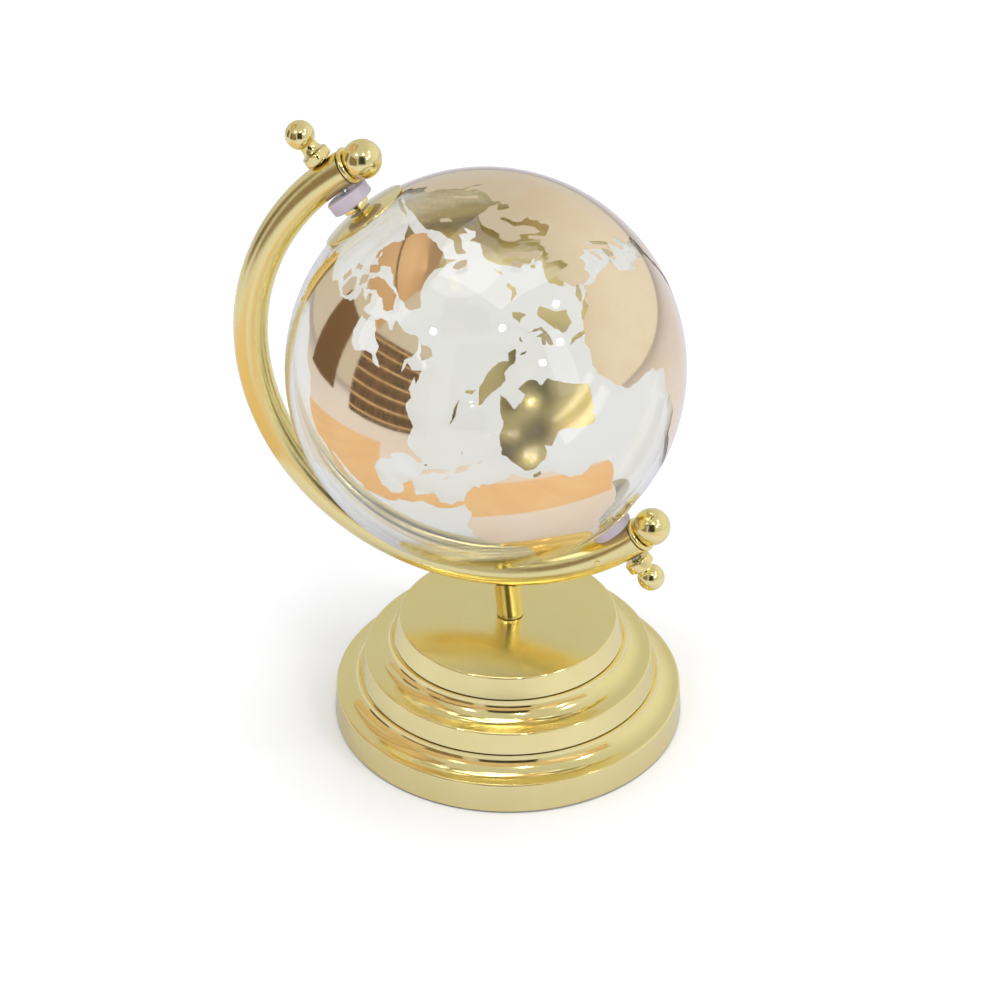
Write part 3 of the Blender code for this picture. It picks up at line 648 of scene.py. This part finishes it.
def cove_outline(neck_radius, neck_height, flat_height):
    points = []
    steps = 24
    for index in range(steps + 1):
        angle = math.pi / 2 * index / steps
        radius = neck_radius + COVE_WIDTH * (1 - math.cos(angle))
        height = neck_height - (neck_height - flat_height) * math.sin(angle)
        points.append((radius, height))
    return points


def base_tiers(material):
    edge_radius, top, foot_radius, foot = BASE_STEPS["base_tier_top"]
    outline = [(BOLT_HOLE_RADIUS, top)] + wall_outline(edge_radius, top, foot_radius, foot)
    outline += [(foot_radius - SHEET, foot), (edge_radius - SHEET, top - SHEET)]
    outline += [(BOLT_HOLE_RADIUS, top - SHEET)]
    turned("base_top_step", outline, material, segments=ROUND, replaced=("base_tier_top",), crease=40)
    for name, seat_name in (("base_tier_middle", "base_tier_top"), ("base_tier_bottom", "base_tier_middle")):
        edge_radius, top, foot_radius, foot = BASE_STEPS[name]
        seat_radius = BASE_STEPS[seat_name][2]
        seat_height = BASE_STEPS[seat_name][3] - GAP
        cove = cove_outline(seat_radius, seat_height, top)
        outline = [(seat_radius - NECK_FLANGE, seat_height)] + cove
        outline += wall_outline(edge_radius, top, foot_radius, foot)
        outline += [(foot_radius - SHEET, foot), (edge_radius - SHEET, top - SHEET)]
        outline += [(radius - SHEET, height - SHEET) for radius, height in reversed(cove)]
        outline += [(seat_radius - NECK_FLANGE, seat_height - SHEET)]
        piece_name = name.replace("tier_", "") + "_step"
        turned(piece_name, outline, material, segments=ROUND, replaced=(name,), crease=40)


def stem(material):
    """The leaning post, its foot level and with a small braze fillet, its top saddled round the tube."""
    foot = Vector((STEM_OFFSET, 0, BASE_STEPS["base_tier_top"][1] + GAP))
    direction = ARM_CENTRE - foot
    matrix = Matrix.Translation(foot) @ Matrix.Rotation(math.atan2(direction.x, direction.z), 4, "Y")
    reach = direction.length - ARM_RADIUS
    bm = bmesh.new()
    rings = []
    levels = 18
    for index in range(levels + 1):
        share = index / levels
        ring = []
        for side in range(ROUND_SMALL):
            angle = TURN * side / ROUND_SMALL
            across = STEM_RADIUS * math.cos(angle)
            along = STEM_RADIUS * math.sin(angle)
            low = -(matrix @ Vector((across, along, 0))).z + foot.z
            low /= matrix[2][2]
            high = reach - math.sqrt((TUBE_RADIUS + GAP) ** 2 - along ** 2)
            swell = 1 + BRAZE_SWELL * math.exp(-((share * (high - low)) / BRAZE_HEIGHT) ** 2)
            spot = Vector((across * swell, along * swell, low + (high - low) * share))
            ring.append(bm.verts.new(matrix @ spot))
        rings.append(ring)
    for first, second in zip(rings, rings[1:]):
        join_rings(bm, first, second)
    for ring in (rings[0], rings[-1]):
        middle = bm.verts.new(sum((corner.co for corner in ring), Vector()) / len(ring))
        for side in range(ROUND_SMALL):
            bm.faces.new((middle, ring[side], ring[(side + 1) % ROUND_SMALL]))
    finish_piece("stem", mesh_of(bm, "stem"), (material,), "stand", ("stem_post",))


# Arm
def tube(material):
    """The hollow tube, swept round the arm's centre from one open mouth to the other."""
    matrix = pivot_matrix(False)
    start = ARM_OVERHANG / ARM_RADIUS
    sweep = math.pi + 2 * start
    steps = 260
    sides = 48
    bm = bmesh.new()
    walls = []
    for radius in (TUBE_RADIUS, TUBE_BORE_RADIUS):
        rings = []
        for index in range(steps + 1):
            swing = Matrix.Rotation(start - sweep * index / steps, 4, "Y")
            ring = []
            for side in range(sides):
                angle = TURN * side / sides
                spot = Vector((0, radius * math.sin(angle), ARM_RADIUS + radius * math.cos(angle)))
                ring.append(bm.verts.new(matrix @ swing @ spot))
            rings.append(ring)
        walls.append(rings)
    outer, inner = walls
    pairs = list(zip(outer, outer[1:])) + list(zip(inner, inner[1:]))
    pairs += [(outer[0], inner[0]), (outer[-1], inner[-1])]
    for first, second in pairs:
        join_rings(bm, first, second)
    finish_piece("arm", mesh_of(bm, "arm"), (material,), "stand", ("arm_tube",))


def vent_plug(material):
    """A small domed plug in the tube's front, with a groove round it."""
    swing = Matrix.Rotation(-VENT_ANGLE, 4, "Y") @ Matrix.Translation((0, 0, ARM_RADIUS))
    matrix = pivot_matrix(False) @ swing @ Matrix.Rotation(math.pi / 2, 4, "X")
    radius = VENT_PLUG_RADIUS
    outline = [(0, TUBE_RADIUS + 0.2 * MM), (radius * 0.6, TUBE_RADIUS + 0.16 * MM),
               (radius, TUBE_RADIUS - 0.02 * MM), (radius, TUBE_RADIUS - 2 * MM), (0, TUBE_RADIUS - 2 * MM)]
    turned("vent_plug", rounded(outline, 0.2 * MM), material, matrix, 40, replaced=("arm_vent_plug",))


def arm_end(side, lower, material):
    collar_start = ARM_OVERHANG + GAP
    collar_end = collar_start + END_COLLAR_LENGTH
    half = END_COLLAR_LENGTH / 2
    hole = SPIGOT_RADIUS + GAP
    bead = arc((TUBE_RADIUS - half + END_COLLAR_PROUD, 0), half, 90, -90, 16)
    bead = [(hole, half)] + bead + [(hole, -half)]
    turned(side + "_mouth_ring", bead, material, end_matrix(lower, (collar_start + collar_end) / 2),
           replaced=(side + "_end_collar",))
    seat = END_BALL_DISTANCE - collar_end - GAP
    seat_angle = math.degrees(math.asin(seat / END_BALL_RADIUS))
    ball = arc((0, 0), END_BALL_RADIUS, 90, -seat_angle, 40)
    ball[0] = (0, END_BALL_RADIUS)
    spigot_end = -seat - SPIGOT_LENGTH
    ball += [(SPIGOT_RADIUS, -seat), (SPIGOT_RADIUS, spigot_end), (0, spigot_end)]
    turned(side + "_cap_ball", ball, material, end_matrix(lower, END_BALL_DISTANCE),
           replaced=(side + "_end_ball",))


# Pivots
def knob(side, matrix, base, material):
    ball_centre, ball_radius, neck_radius, foot_radius = KNOBS[side]
    neck_angle = math.degrees(math.acos(neck_radius / ball_radius))
    outline = arc((0, ball_centre), ball_radius, 90, -neck_angle, 40)
    outline[0] = (0, ball_centre + ball_radius)
    neck_top = outline[-1]
    neck_foot = (foot_radius, base)
    for index in range(1, 10):
        share = index / 10
        radius = neck_top[0] + (neck_foot[0] - neck_top[0]) * share ** 2
        waist = 0.12 * MM * math.sin(math.pi * share)
        outline.append((radius - waist, neck_top[1] + (neck_foot[1] - neck_top[1]) * share))
    hole_end = base + KNOB_HOLE_DEPTH
    outline += [neck_foot, (PIN_HOLE_RADIUS, base), (PIN_HOLE_RADIUS, hole_end), (0, hole_end)]
    turned(side + "_knob", outline, material, matrix, replaced=(side + "_finial_knob",))


def cup(side, matrix, globe_centre, material):
    """A thin spun cap over the pole, with a small rolled rim."""
    inner = GLOBE_RADIUS + GAP
    outer = inner + CUP_THICKNESS
    rim = 90 - math.degrees(math.asin((CUP_RADIUS - 0.2 * MM) / outer))
    hole = 90 - math.degrees(math.asin(POLE_HOLE_RADIUS / outer))
    outline = arc((0, globe_centre), outer, hole, rim, 24)
    middle = (inner + outer) / 2
    angle = math.radians(rim)
    centre = Vector((middle * math.cos(angle), globe_centre + middle * math.sin(angle)))
    for index in range(1, 8):
        turn = angle - math.pi * index / 8
        point = centre + Vector((math.cos(turn), math.sin(turn))) * CUP_THICKNESS / 2
        outline.append((point.x, point.y))
    outline += arc((0, globe_centre), inner, rim, hole, 24)
    turned(side + "_cap", outline, material, matrix, ROUND, body="globe", replaced=(side + "_pole_cup",))


def lock_nut(matrix, bottom, material):
    """A bead-shaped hexagon nut: six soft flats on a rounded profile."""
    outline = []
    half = LOCK_NUT_LENGTH / 2
    steps = 20
    for index in range(steps + 1):
        angle = math.pi / 2 - math.pi * index / steps
        height = bottom + half + half * math.sin(angle)
        swell = max(math.cos(angle), 0.0) ** 0.8
        outline.append((LOCK_NUT_RADIUS * (NUT_SHOULDER + (1 - NUT_SHOULDER) * swell), height))
    outline = [(PIN_HOLE_RADIUS, bottom + LOCK_NUT_LENGTH)] + outline + [(PIN_HOLE_RADIUS, bottom)]
    mesh = turned_mesh("hex_nut", outline, None, ROUND)
    apothem = LOCK_NUT_RADIUS * NUT_FLATS
    for vertex in mesh.vertices:
        radius = math.hypot(vertex.co.x, vertex.co.y)
        turn = math.atan2(vertex.co.y, vertex.co.x) % (math.pi / 3) - math.pi / 6
        limit = apothem / math.cos(turn)
        if radius > limit:
            vertex.co.x *= limit / radius
            vertex.co.y *= limit / radius
    mesh.transform(matrix)
    finish_piece("hex_nut", mesh, (material,), "stand", ("upper_lock_nut",), 20)


def pivot(side, lower, metal, resin):
    matrix = pivot_matrix(lower)
    globe_centre = GLOBE_SLIDE if lower else -GLOBE_SLIDE
    arm_inner = ARM_RADIUS - TUBE_RADIUS
    arm_outer = ARM_RADIUS + TUBE_RADIUS
    cup_top = globe_centre + GLOBE_RADIUS + GAP + CUP_THICKNESS
    cup(side, matrix, globe_centre, metal)
    washer_bottom = cup_top + GAP
    if not lower:
        spacer_top = washer_bottom + SPACER_LENGTH
        step = washer_bottom + SPACER_STEP
        spacer = [(PIN_HOLE_RADIUS, spacer_top), (SPACER_RADIUS, spacer_top), (SPACER_RADIUS, step),
                  (SPACER_NECK_RADIUS, step), (SPACER_NECK_RADIUS, washer_bottom),
                  (PIN_HOLE_RADIUS, washer_bottom)]
        turned("stepped_spacer", rounded(spacer, 0.25 * MM), metal, matrix, body="globe",
               replaced=("upper_spacer",))
        washer_bottom = spacer_top + GAP
    washer_top = arm_inner - WASHER_STANDOFF
    washer = [(PIN_HOLE_RADIUS, washer_top), (WASHER_RADIUS - WASHER_CHAMFER, washer_top),
              (WASHER_RADIUS, washer_top - WASHER_CHAMFER), (WASHER_RADIUS, washer_bottom + WASHER_CHAMFER),
              (WASHER_RADIUS - WASHER_CHAMFER, washer_bottom), (PIN_HOLE_RADIUS, washer_bottom)]
    turned(side + "_lilac_washer", rounded(washer, 0.2 * MM), resin, matrix,
           replaced=(side + "_pivot_washer",), crease=50)
    if lower:
        bottom = arm_outer + LOWER_COLLAR_STANDOFF
        top = bottom + LOWER_COLLAR_LENGTH
        collar = [(PIN_HOLE_RADIUS, top), (LOWER_COLLAR_RADIUS, top), (LOWER_COLLAR_RADIUS, bottom),
                  (PIN_HOLE_RADIUS, bottom)]
        turned("lower_collar", rounded(collar, 0.5 * MM), metal, matrix, replaced=("lower_lock_collar",))
        knob(side, matrix, top + GAP, metal)
    else:
        lock_nut(matrix, arm_outer + GAP, metal)
        knob(side, matrix, arm_outer + 2 * GAP + LOCK_NUT_LENGTH, metal)


# Ball
def ball_matrix():
    """At the ball's centre, with Z towards its upper pole."""
    return pivot_matrix(False) @ Matrix.Translation((0, 0, -GLOBE_SLIDE))


def ball(material):
    """The hollow glass ball, open at both poles, with rounded holes."""
    matrix = ball_matrix()
    inner = GLOBE_RADIUS - GLASS_THICKNESS
    outside = 90 - math.degrees(math.asin(POLE_HOLE_RADIUS / GLOBE_RADIUS))
    inside = 90 - math.degrees(math.asin(POLE_HOLE_RADIUS / inner))
    outline = arc((0, 0), GLOBE_RADIUS, outside, -outside, 120)
    outline += arc((0, 0), inner, -inside, inside, 120)
    turned("glass_ball", outline, material, matrix, ROUND, "globe", ("globe_glass",))


def unit(latitude, longitude):
    """The direction at a latitude and a longitude, in degrees."""
    latitude = math.radians(latitude)
    longitude = math.radians(longitude)
    return Vector((math.cos(latitude) * math.cos(longitude), math.cos(latitude) * math.sin(longitude),
                   math.sin(latitude)))


def frame_of(first, second):
    """Three square axes, the first one halfway between two directions."""
    middle = (first + second).normalized()
    square = first.cross(second).normalized()
    return Matrix((middle, square.cross(middle), square)).transposed()


def map_anchors():
    """For each region of the map, its middle and the turn that brings its landmarks to their places."""
    anchors = []
    for middle, *landmarks in MAP_REGIONS:
        on_map = frame_of(*[unit(*landmark[:2]) for landmark in landmarks])
        placed = frame_of(*[unit(90 - landmark[2], landmark[3]) for landmark in landmarks])
        quaternion = (placed @ on_map.transposed()).to_quaternion()
        if anchors and quaternion.dot(anchors[0][1]) < 0:
            quaternion = -quaternion
        anchors.append((unit(*middle), quaternion))
    return anchors


def on_ball(point, anchors):
    """Turns a map direction by the mean of the turns round it, the nearest ones counting most."""
    total = Quaternion((0, 0, 0, 0))
    for anchor, quaternion in anchors:
        distance = anchor.angle(point)
        total += quaternion * (math.exp(-(distance / MAP_BLEND) ** 2) + 1e-4)
    return total.normalized() @ point


def coast(points, rng):
    """The outline's points as directions, with smaller and smaller bays and capes between them."""
    def between(first, second):
        span = first.angle(second)
        if span < COAST_STEP:
            return []
        middle = (first + second).normalized()
        aside = middle.cross(second - first).normalized()
        reach = min(span, 5 * COAST_STEP) * COAST_ROUGHNESS
        middle = (middle + aside * rng.uniform(-1, 1) * reach).normalized()
        return between(first, middle) + [middle] + between(middle, second)
    corners = [unit(latitude, longitude) for longitude, latitude in points]
    result = []
    for first, second in zip(corners, corners[1:] + corners[:1]):
        result.append(first)
        result += between(first, second)
    return result


def inside(outline, spot):
    """True for a flat point within a closed outline, by the crossings to its right."""
    found = False
    for (ax, ay), (bx, by) in zip(outline, outline[1:] + outline[:1]):
        if (ay > spot[1]) != (by > spot[1]) and spot[0] < (bx - ax) * (spot[1] - ay) / (by - ay) + ax:
            found = not found
    return found


def flat_land(directions):
    """Corners on the unit ball and triangles that fill a closed coastline."""
    centre = sum(directions, Vector()).normalized()
    side = centre.orthogonal().normalized()
    up = centre.cross(side)
    outline = []
    for direction in directions:
        angle = centre.angle(direction)
        flat = Vector((direction.dot(side), direction.dot(up)))
        outline.append(tuple(flat.normalized() * angle))
    low = np.min(outline, axis=0)
    high = np.max(outline, axis=0)
    spots = [Vector(point) for point in outline]
    counts = [int((high[axis] - low[axis]) / LAND_GRID) + 1 for axis in (0, 1)]
    for row in range(counts[1]):
        for column in range(counts[0]):
            shift = 0.5 * (row % 2)
            spot = (low[0] + (column + shift) * LAND_GRID, low[1] + (row + 0.5) * LAND_GRID)
            if inside(outline, spot):
                spots.append(Vector(spot))
    edges = [(index, (index + 1) % len(outline)) for index in range(len(outline))]
    corners, _, faces, *_ = delaunay_2d_cdt(spots, edges, [], 1, 1e-6)
    raised = []
    for corner in corners:
        angle = corner.length
        flat = corner.normalized() if angle > 1e-9 else Vector((1, 0))
        raised.append(centre * math.cos(angle) + (side * flat.x + up * flat.y) * math.sin(angle))
    return raised, [tuple(face) for face in faces if len(face) == 3]


def foil_piece(name, outlines, anchors, materials, rng):
    """Thin closed plates of foil that follow the glass: outside face, inside face and edge."""
    matrix = ball_matrix() @ Matrix.Rotation(-math.pi / 2, 4, "Z")
    centre = matrix.translation
    low = GLOBE_RADIUS + FOIL_CLEARANCE
    high = low + FOIL_THICKNESS
    places = []
    faces = []
    marks = []
    for points in outlines:
        corners, triangles = flat_land(coast(points, rng))
        turned_corners = [on_ball(corner, anchors) for corner in corners]
        first = len(places)
        count = len(corners)
        places += [matrix @ (corner * high) for corner in turned_corners]
        places += [matrix @ (corner * low) for corner in turned_corners]
        borders = {}
        for a, b, c in triangles:
            normal = (turned_corners[b] - turned_corners[a]).cross(turned_corners[c] - turned_corners[a])
            if normal.dot(turned_corners[a]) < 0:
                b, c = c, b
            faces.append((first + a, first + b, first + c))
            marks.append(0)
            faces.append((first + count + a, first + count + c, first + count + b))
            marks.append(1)
            for start, end in ((a, b), (b, c), (c, a)):
                if (end, start) in borders:
                    del borders[(end, start)]
                else:
                    borders[(start, end)] = True
        for start, end in borders:
            faces.append((first + start, first + count + start, first + count + end, first + end))
            marks.append(2)
    mesh = bpy.data.meshes.new(name)
    mesh.from_pydata(places, [], faces)
    mesh.polygons.foreach_set("material_index", [min(mark, 1) for mark in marks])
    finish_piece(name, mesh, materials, "globe", crease=180)
    normals = []
    for polygon, mark in zip(mesh.polygons, marks):
        for corner in polygon.vertices:
            outward = (mesh.vertices[corner].co - centre).normalized()
            normals.append(polygon.normal if mark == 2 else outward * (1 - 2 * mark))
    mesh.normals_split_custom_set(normals)


def continents():
    """Foil on the glass: rose gold seen from outside, yellow gold seen through the ball."""
    outside = foil("rose_gold_foil", (0.97, 0.80, 0.55), (0.95, 0.73, 0.46))
    within = foil("yellow_gold_foil", (1.0, 0.82, 0.33), (1.0, 0.76, 0.26), 0.16, 0.85, 0.0)
    anchors = map_anchors()
    rng = random.Random(7)
    for name, outlines in LANDS.items():
        foil_piece(name, outlines, anchors, (outside, within), rng)


# CAD nodes that stay as they are
def repaint(material, *names):
    for name in names:
        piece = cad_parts[name]
        for slot in piece.material_slots:
            slot.material = material


# Studio
SHELF_PITCH = 0.06
TABLE_CARD_HEIGHT = 0.06
LAMP_DISTANCE = 1.8
LAMP_AIM = 0.13
LAMP_RADIUS = 0.055
LAMP_POWER = 7.0
BRIGHT_SIDE = (0.84, 0.54, 0.05)
# Degrees round from the front, left counting as more, and degrees up
LAMPS = ((-81, 50), (-65, 34), (28, 44), (-27, 51), (-49, 28))


def stage_object(name, mesh, material, hidden=False):
    mesh.materials.append(material)
    item = bpy.data.objects.new(name, mesh)
    bpy.context.scene.collection.objects.link(item)
    if hidden:
        for sight in ("camera", "diffuse", "transmission", "shadow"):
            setattr(item, "visible_" + sight, False)
    return item


def floor():
    material, tree, shader = principled("pale_floor", Metallic=0.0, Roughness=0.55)
    tint = mixed(tree, noise(tree, place(tree), 6, 2), (0.90, 0.90, 0.90), (0.88, 0.88, 0.88))
    tree.links.new(tint, shader.inputs["Base Color"])
    radius = 4.0
    mesh = bpy.data.meshes.new("floor")
    angles = [TURN * index / 64 for index in range(64)]
    rim = [(radius * math.cos(angle), radius * math.sin(angle), 0) for angle in angles]
    mesh.from_pydata(rim, [], [tuple(range(64))])
    stage_object("floor", mesh, material)


def card(name, azimuth, distance, width, low, high, colour):
    """An upright card that only shows in reflections. Azimuth 0 is in front, and 90 is to the left."""
    material, tree, shader = principled(name + "_paint", Metallic=0.0, Roughness=0.6)
    shader.inputs["Base Color"].default_value = (*colour, 1)
    angle = math.radians(azimuth)
    out = Vector((-math.sin(angle), -math.cos(angle), 0))
    across = Vector((math.cos(angle), -math.sin(angle), 0)) * width / 2
    middle = out * distance
    corners = [middle - across + Vector((0, 0, low)), middle + across + Vector((0, 0, low)),
               middle + across + Vector((0, 0, high)), middle - across + Vector((0, 0, high))]
    mesh = bpy.data.meshes.new(name)
    mesh.from_pydata(corners, [], [(0, 1, 2, 3)])
    return stage_object(name, mesh, material, True)


def area_light(name, place_at, look_at, width, height, power):
    data = bpy.data.lights.new(name, "AREA")
    data.shape = "RECTANGLE"
    data.size = width
    data.size_y = height
    data.energy = power
    item = bpy.data.objects.new(name, data)
    item.location = place_at
    item.rotation_euler = (Vector(look_at) - Vector(place_at)).to_track_quat("-Z", "Y").to_euler()
    item.visible_glossy = False
    bpy.context.scene.collection.objects.link(item)
    return item


def lamp(name, place_at, radius, power):
    data = bpy.data.lights.new(name, "POINT")
    data.shadow_soft_size = radius
    data.energy = power
    item = bpy.data.objects.new(name, data)
    item.location = place_at
    bpy.context.scene.collection.objects.link(item)


def sky():
    """An even pale world, brighter towards one side."""
    world = bpy.data.worlds.new("studio")
    world.use_nodes = True
    tree = world.node_tree
    facing = node(tree, "ShaderNodeVectorMath", {0: node(tree, "ShaderNodeTexCoord").outputs["Generated"]},
                  operation="DOT_PRODUCT")
    facing.inputs[1].default_value = BRIGHT_SIDE
    tree.nodes["Background"].inputs["Color"].default_value = (0.98, 0.99, 1.0, 1)
    tree.links.new(remap(tree, facing.outputs["Value"], 0.3, 1.0, 0.62, 0.84, True),
                   tree.nodes["Background"].inputs["Strength"])
    bpy.context.scene.world = world


def studio():
    """Soft light that metal doesn't mirror, small lamps that it does, and cards for the room round it."""
    floor()
    sky()
    softbox = area_light("overhead_softbox", (-0.25, -0.1, 1.5), (0, 0, 0.1), 0.9, 0.9, 3.2)
    softbox.data.shape = "DISK"
    area_light("overhead_fill", (0.1, 0.2, 1.6), (0, 0, 0.1), 1.4, 1.4, 12)
    area_light("left_window", (-1.3, -0.5, 0.9), (0, 0, 0.12), 0.6, 1.0, 3)
    area_light("right_window", (1.3, -0.7, 0.8), (0, 0, 0.12), 0.4, 1.0, 2)
    for index, (azimuth, elevation) in enumerate(LAMPS):
        direction = unit(elevation, -90 - azimuth)
        middle = direction * LAMP_DISTANCE + Vector((0, 0, LAMP_AIM))
        lamp(f"ceiling_lamp_{index}", middle, LAMP_RADIUS, LAMP_POWER)
    shelf = card("shelf_wall", 40, 0.55, 0.46, 0.03, 0.44, (0.06, 0.045, 0.03))
    shelf.data.materials[0] = shelves()
    card("dark_doorway", 86, 0.8, 0.30, 0.03, 0.5, (0.13, 0.075, 0.035))
    card("photographer", -12.8, 0.78, 0.56, 0.08, 0.86, (0.012, 0.011, 0.01))
    card("ceiling_beam", 96, 0.8, 1.10, 0.66, 2.20, (0.40, 0.29, 0.19))
    card("ceiling_joint", 96, 0.78, 1.10, 0.98, 1.01, (0.05, 0.03, 0.02))
    table_in_reflections()


def shelves():
    """Rows of dark books between pale boards."""
    material, tree, shader = principled("shelf_paint", Metallic=0.0, Roughness=0.6)
    parts = node(tree, "ShaderNodeSeparateXYZ", {"Vector": place(tree)}).outputs
    upright = node(tree, "ShaderNodeCombineXYZ", {"X": parts["X"], "Y": parts["Z"]}).outputs["Vector"]
    bricks = node(tree, "ShaderNodeTexBrick", {
        "Vector": upright, "Scale": 24.0, "Mortar Size": 0.012, "Brick Width": 0.22, "Row Height": 1.3})
    bricks.inputs["Color1"].default_value = (0.025, 0.018, 0.012, 1)
    bricks.inputs["Color2"].default_value = (0.13, 0.07, 0.045, 1)
    bricks.inputs["Mortar"].default_value = (0.42, 0.33, 0.22, 1)
    level = sums(tree, "FRACT", sums(tree, "DIVIDE", parts["Z"], SHELF_PITCH), 0.0)
    boards = node(tree, "ShaderNodeMix", {
        "Factor": remap(tree, level, 0.84, 0.87, 0.0, 1.0)}, data_type="RGBA")
    tree.links.new(bricks.outputs["Color"], boards.inputs["A"])
    boards.inputs["B"].default_value = (0.62, 0.47, 0.29, 1)
    tree.links.new(boards.outputs["Result"], shader.inputs["Base Color"])
    return material


def sector(name, inner, outer, height, start, end):
    """A flat piece of a ring. Azimuth 0 is in front, and 90 is to the left."""
    count = 48
    corners = []
    for radius in (inner, outer):
        for index in range(count + 1):
            angle = math.radians(start + (end - start) * index / count)
            corners.append((-radius * math.sin(angle), -radius * math.cos(angle), height))
    faces = [(index, index + 1, count + 2 + index, count + 1 + index) for index in range(count)]
    mesh = bpy.data.meshes.new(name)
    mesh.from_pydata(corners, [], faces)
    return mesh


def table_in_reflections():
    """Brown wood and a darker, bluish copy of the floor, which only show in reflections, and a darker grey
    copy of the floor seen through the ball: both floor copies are painted shade.
    """
    wood, tree, shader = principled("wood_table_paint", Metallic=0.0, Roughness=0.5)
    grain = noise(tree, node(tree, "ShaderNodeMapping", {
        "Vector": place(tree), "Scale": (60.0, 4.0, 1.0)}).outputs["Vector"], 1.0, 4)
    tree.links.new(mixed(tree, grain, (0.56, 0.41, 0.27), (0.64, 0.49, 0.34)), shader.inputs["Base Color"])
    # Painted shade: a copy of the floor, darker and bluer than the floor itself, that only the metal mirrors.
    mirrored_floor_in_painted_shade, tree, shader = principled("mirrored_floor_painted_shade", Metallic=0.0, Roughness=0.7)
    shade_mottle = noise(tree, place(tree), 40, 3)
    tree.links.new(mixed(tree, shade_mottle, (0.56, 0.57, 0.67), (0.61, 0.62, 0.72)), shader.inputs["Base Color"])
    # Painted shade: a copy of the floor, darker grey than the floor itself, that shows only through the glass
    # ball.
    seen, tree, shader = principled("floor_through_glass_painted_shade", Metallic=0.0, Roughness=0.8)
    shade_mottle = noise(tree, place(tree), 30, 2)
    tree.links.new(mixed(tree, shade_mottle, (0.63, 0.625, 0.60), (0.66, 0.655, 0.63)), shader.inputs["Base Color"])
    # The darker floor copy of painted shade, shown only in reflections.
    stage_object("mirrored_floor_in_painted_shade", sector("mirrored_floor_in_painted_shade", 0.02, 3.5, 0.5 * MM, 0, 360), mirrored_floor_in_painted_shade, True)
    stage_object("wood_front", sector("wood_front", 0.090, 0.150, TABLE_CARD_HEIGHT, -75, 40), wood, True)
    stage_object("wood_left", sector("wood_left", 0.105, 0.26, TABLE_CARD_HEIGHT, 40, 100), wood, True)
    # Painted shade: the darker floor copy that only the ball's glass lets through.
    through = sector("floor_seen_through_glass_shaded", 0.02, 3.5, 0.7 * MM, 0, 360)
    through = stage_object("floor_seen_through_glass_shaded", through, seen, True)
    through.visible_glossy = False
    through.visible_transmission = True


def camera():
    """From a little right of the front and above, 0.76 m away."""
    azimuth = math.radians(12.83)
    elevation = math.radians(32.58)
    back = Vector((math.sin(azimuth) * math.cos(elevation), -math.cos(azimuth) * math.cos(elevation),
                   math.sin(elevation)))
    right = Vector((math.cos(azimuth), math.sin(azimuth), 0))
    target = right * -2.787 * MM + Vector((0, 0, 82.8 * MM))
    data = bpy.data.cameras.new("camera")
    data.lens = 83.33
    data.sensor_width = 36
    data.clip_start = 0.01
    item = bpy.data.objects.new("camera", data)
    item.location = target + back * 757.9 * MM
    item.rotation_euler = back.to_track_quat("Z", "Y").to_euler()
    bpy.context.scene.collection.objects.link(item)
    bpy.context.scene.camera = item


def build():
    plate = gold("gold_plate_fittings", 0.14, 0.14)
    turned_plate = gold("gold_plate_turned", 0.09, 0.20, "turned")
    drawn_plate = gold("gold_plate_drawn", 0.18, 0.18, "drawn")
    resin = lilac()
    base_tiers(turned_plate)
    stem(plate)
    tube(drawn_plate)
    vent_plug(plate)
    for side, lower in (("upper", False), ("lower", True)):
        arm_end(side, lower, plate)
        pivot(side, lower, plate, resin)
    ball(glass())
    continents()
    repaint(steel(), "base_bolt", "base_washer", "base_cover_plate", "upper_pivot_pin", "lower_pivot_pin")
    repaint(iron(), "base_weight")
    repaint(felt(), "felt_pad")
    repaint(nylon(), "upper_pole_bush", "lower_pole_bush")


build()
studio()
camera()
bpy.context.scene.view_settings.view_transform = "Standard"
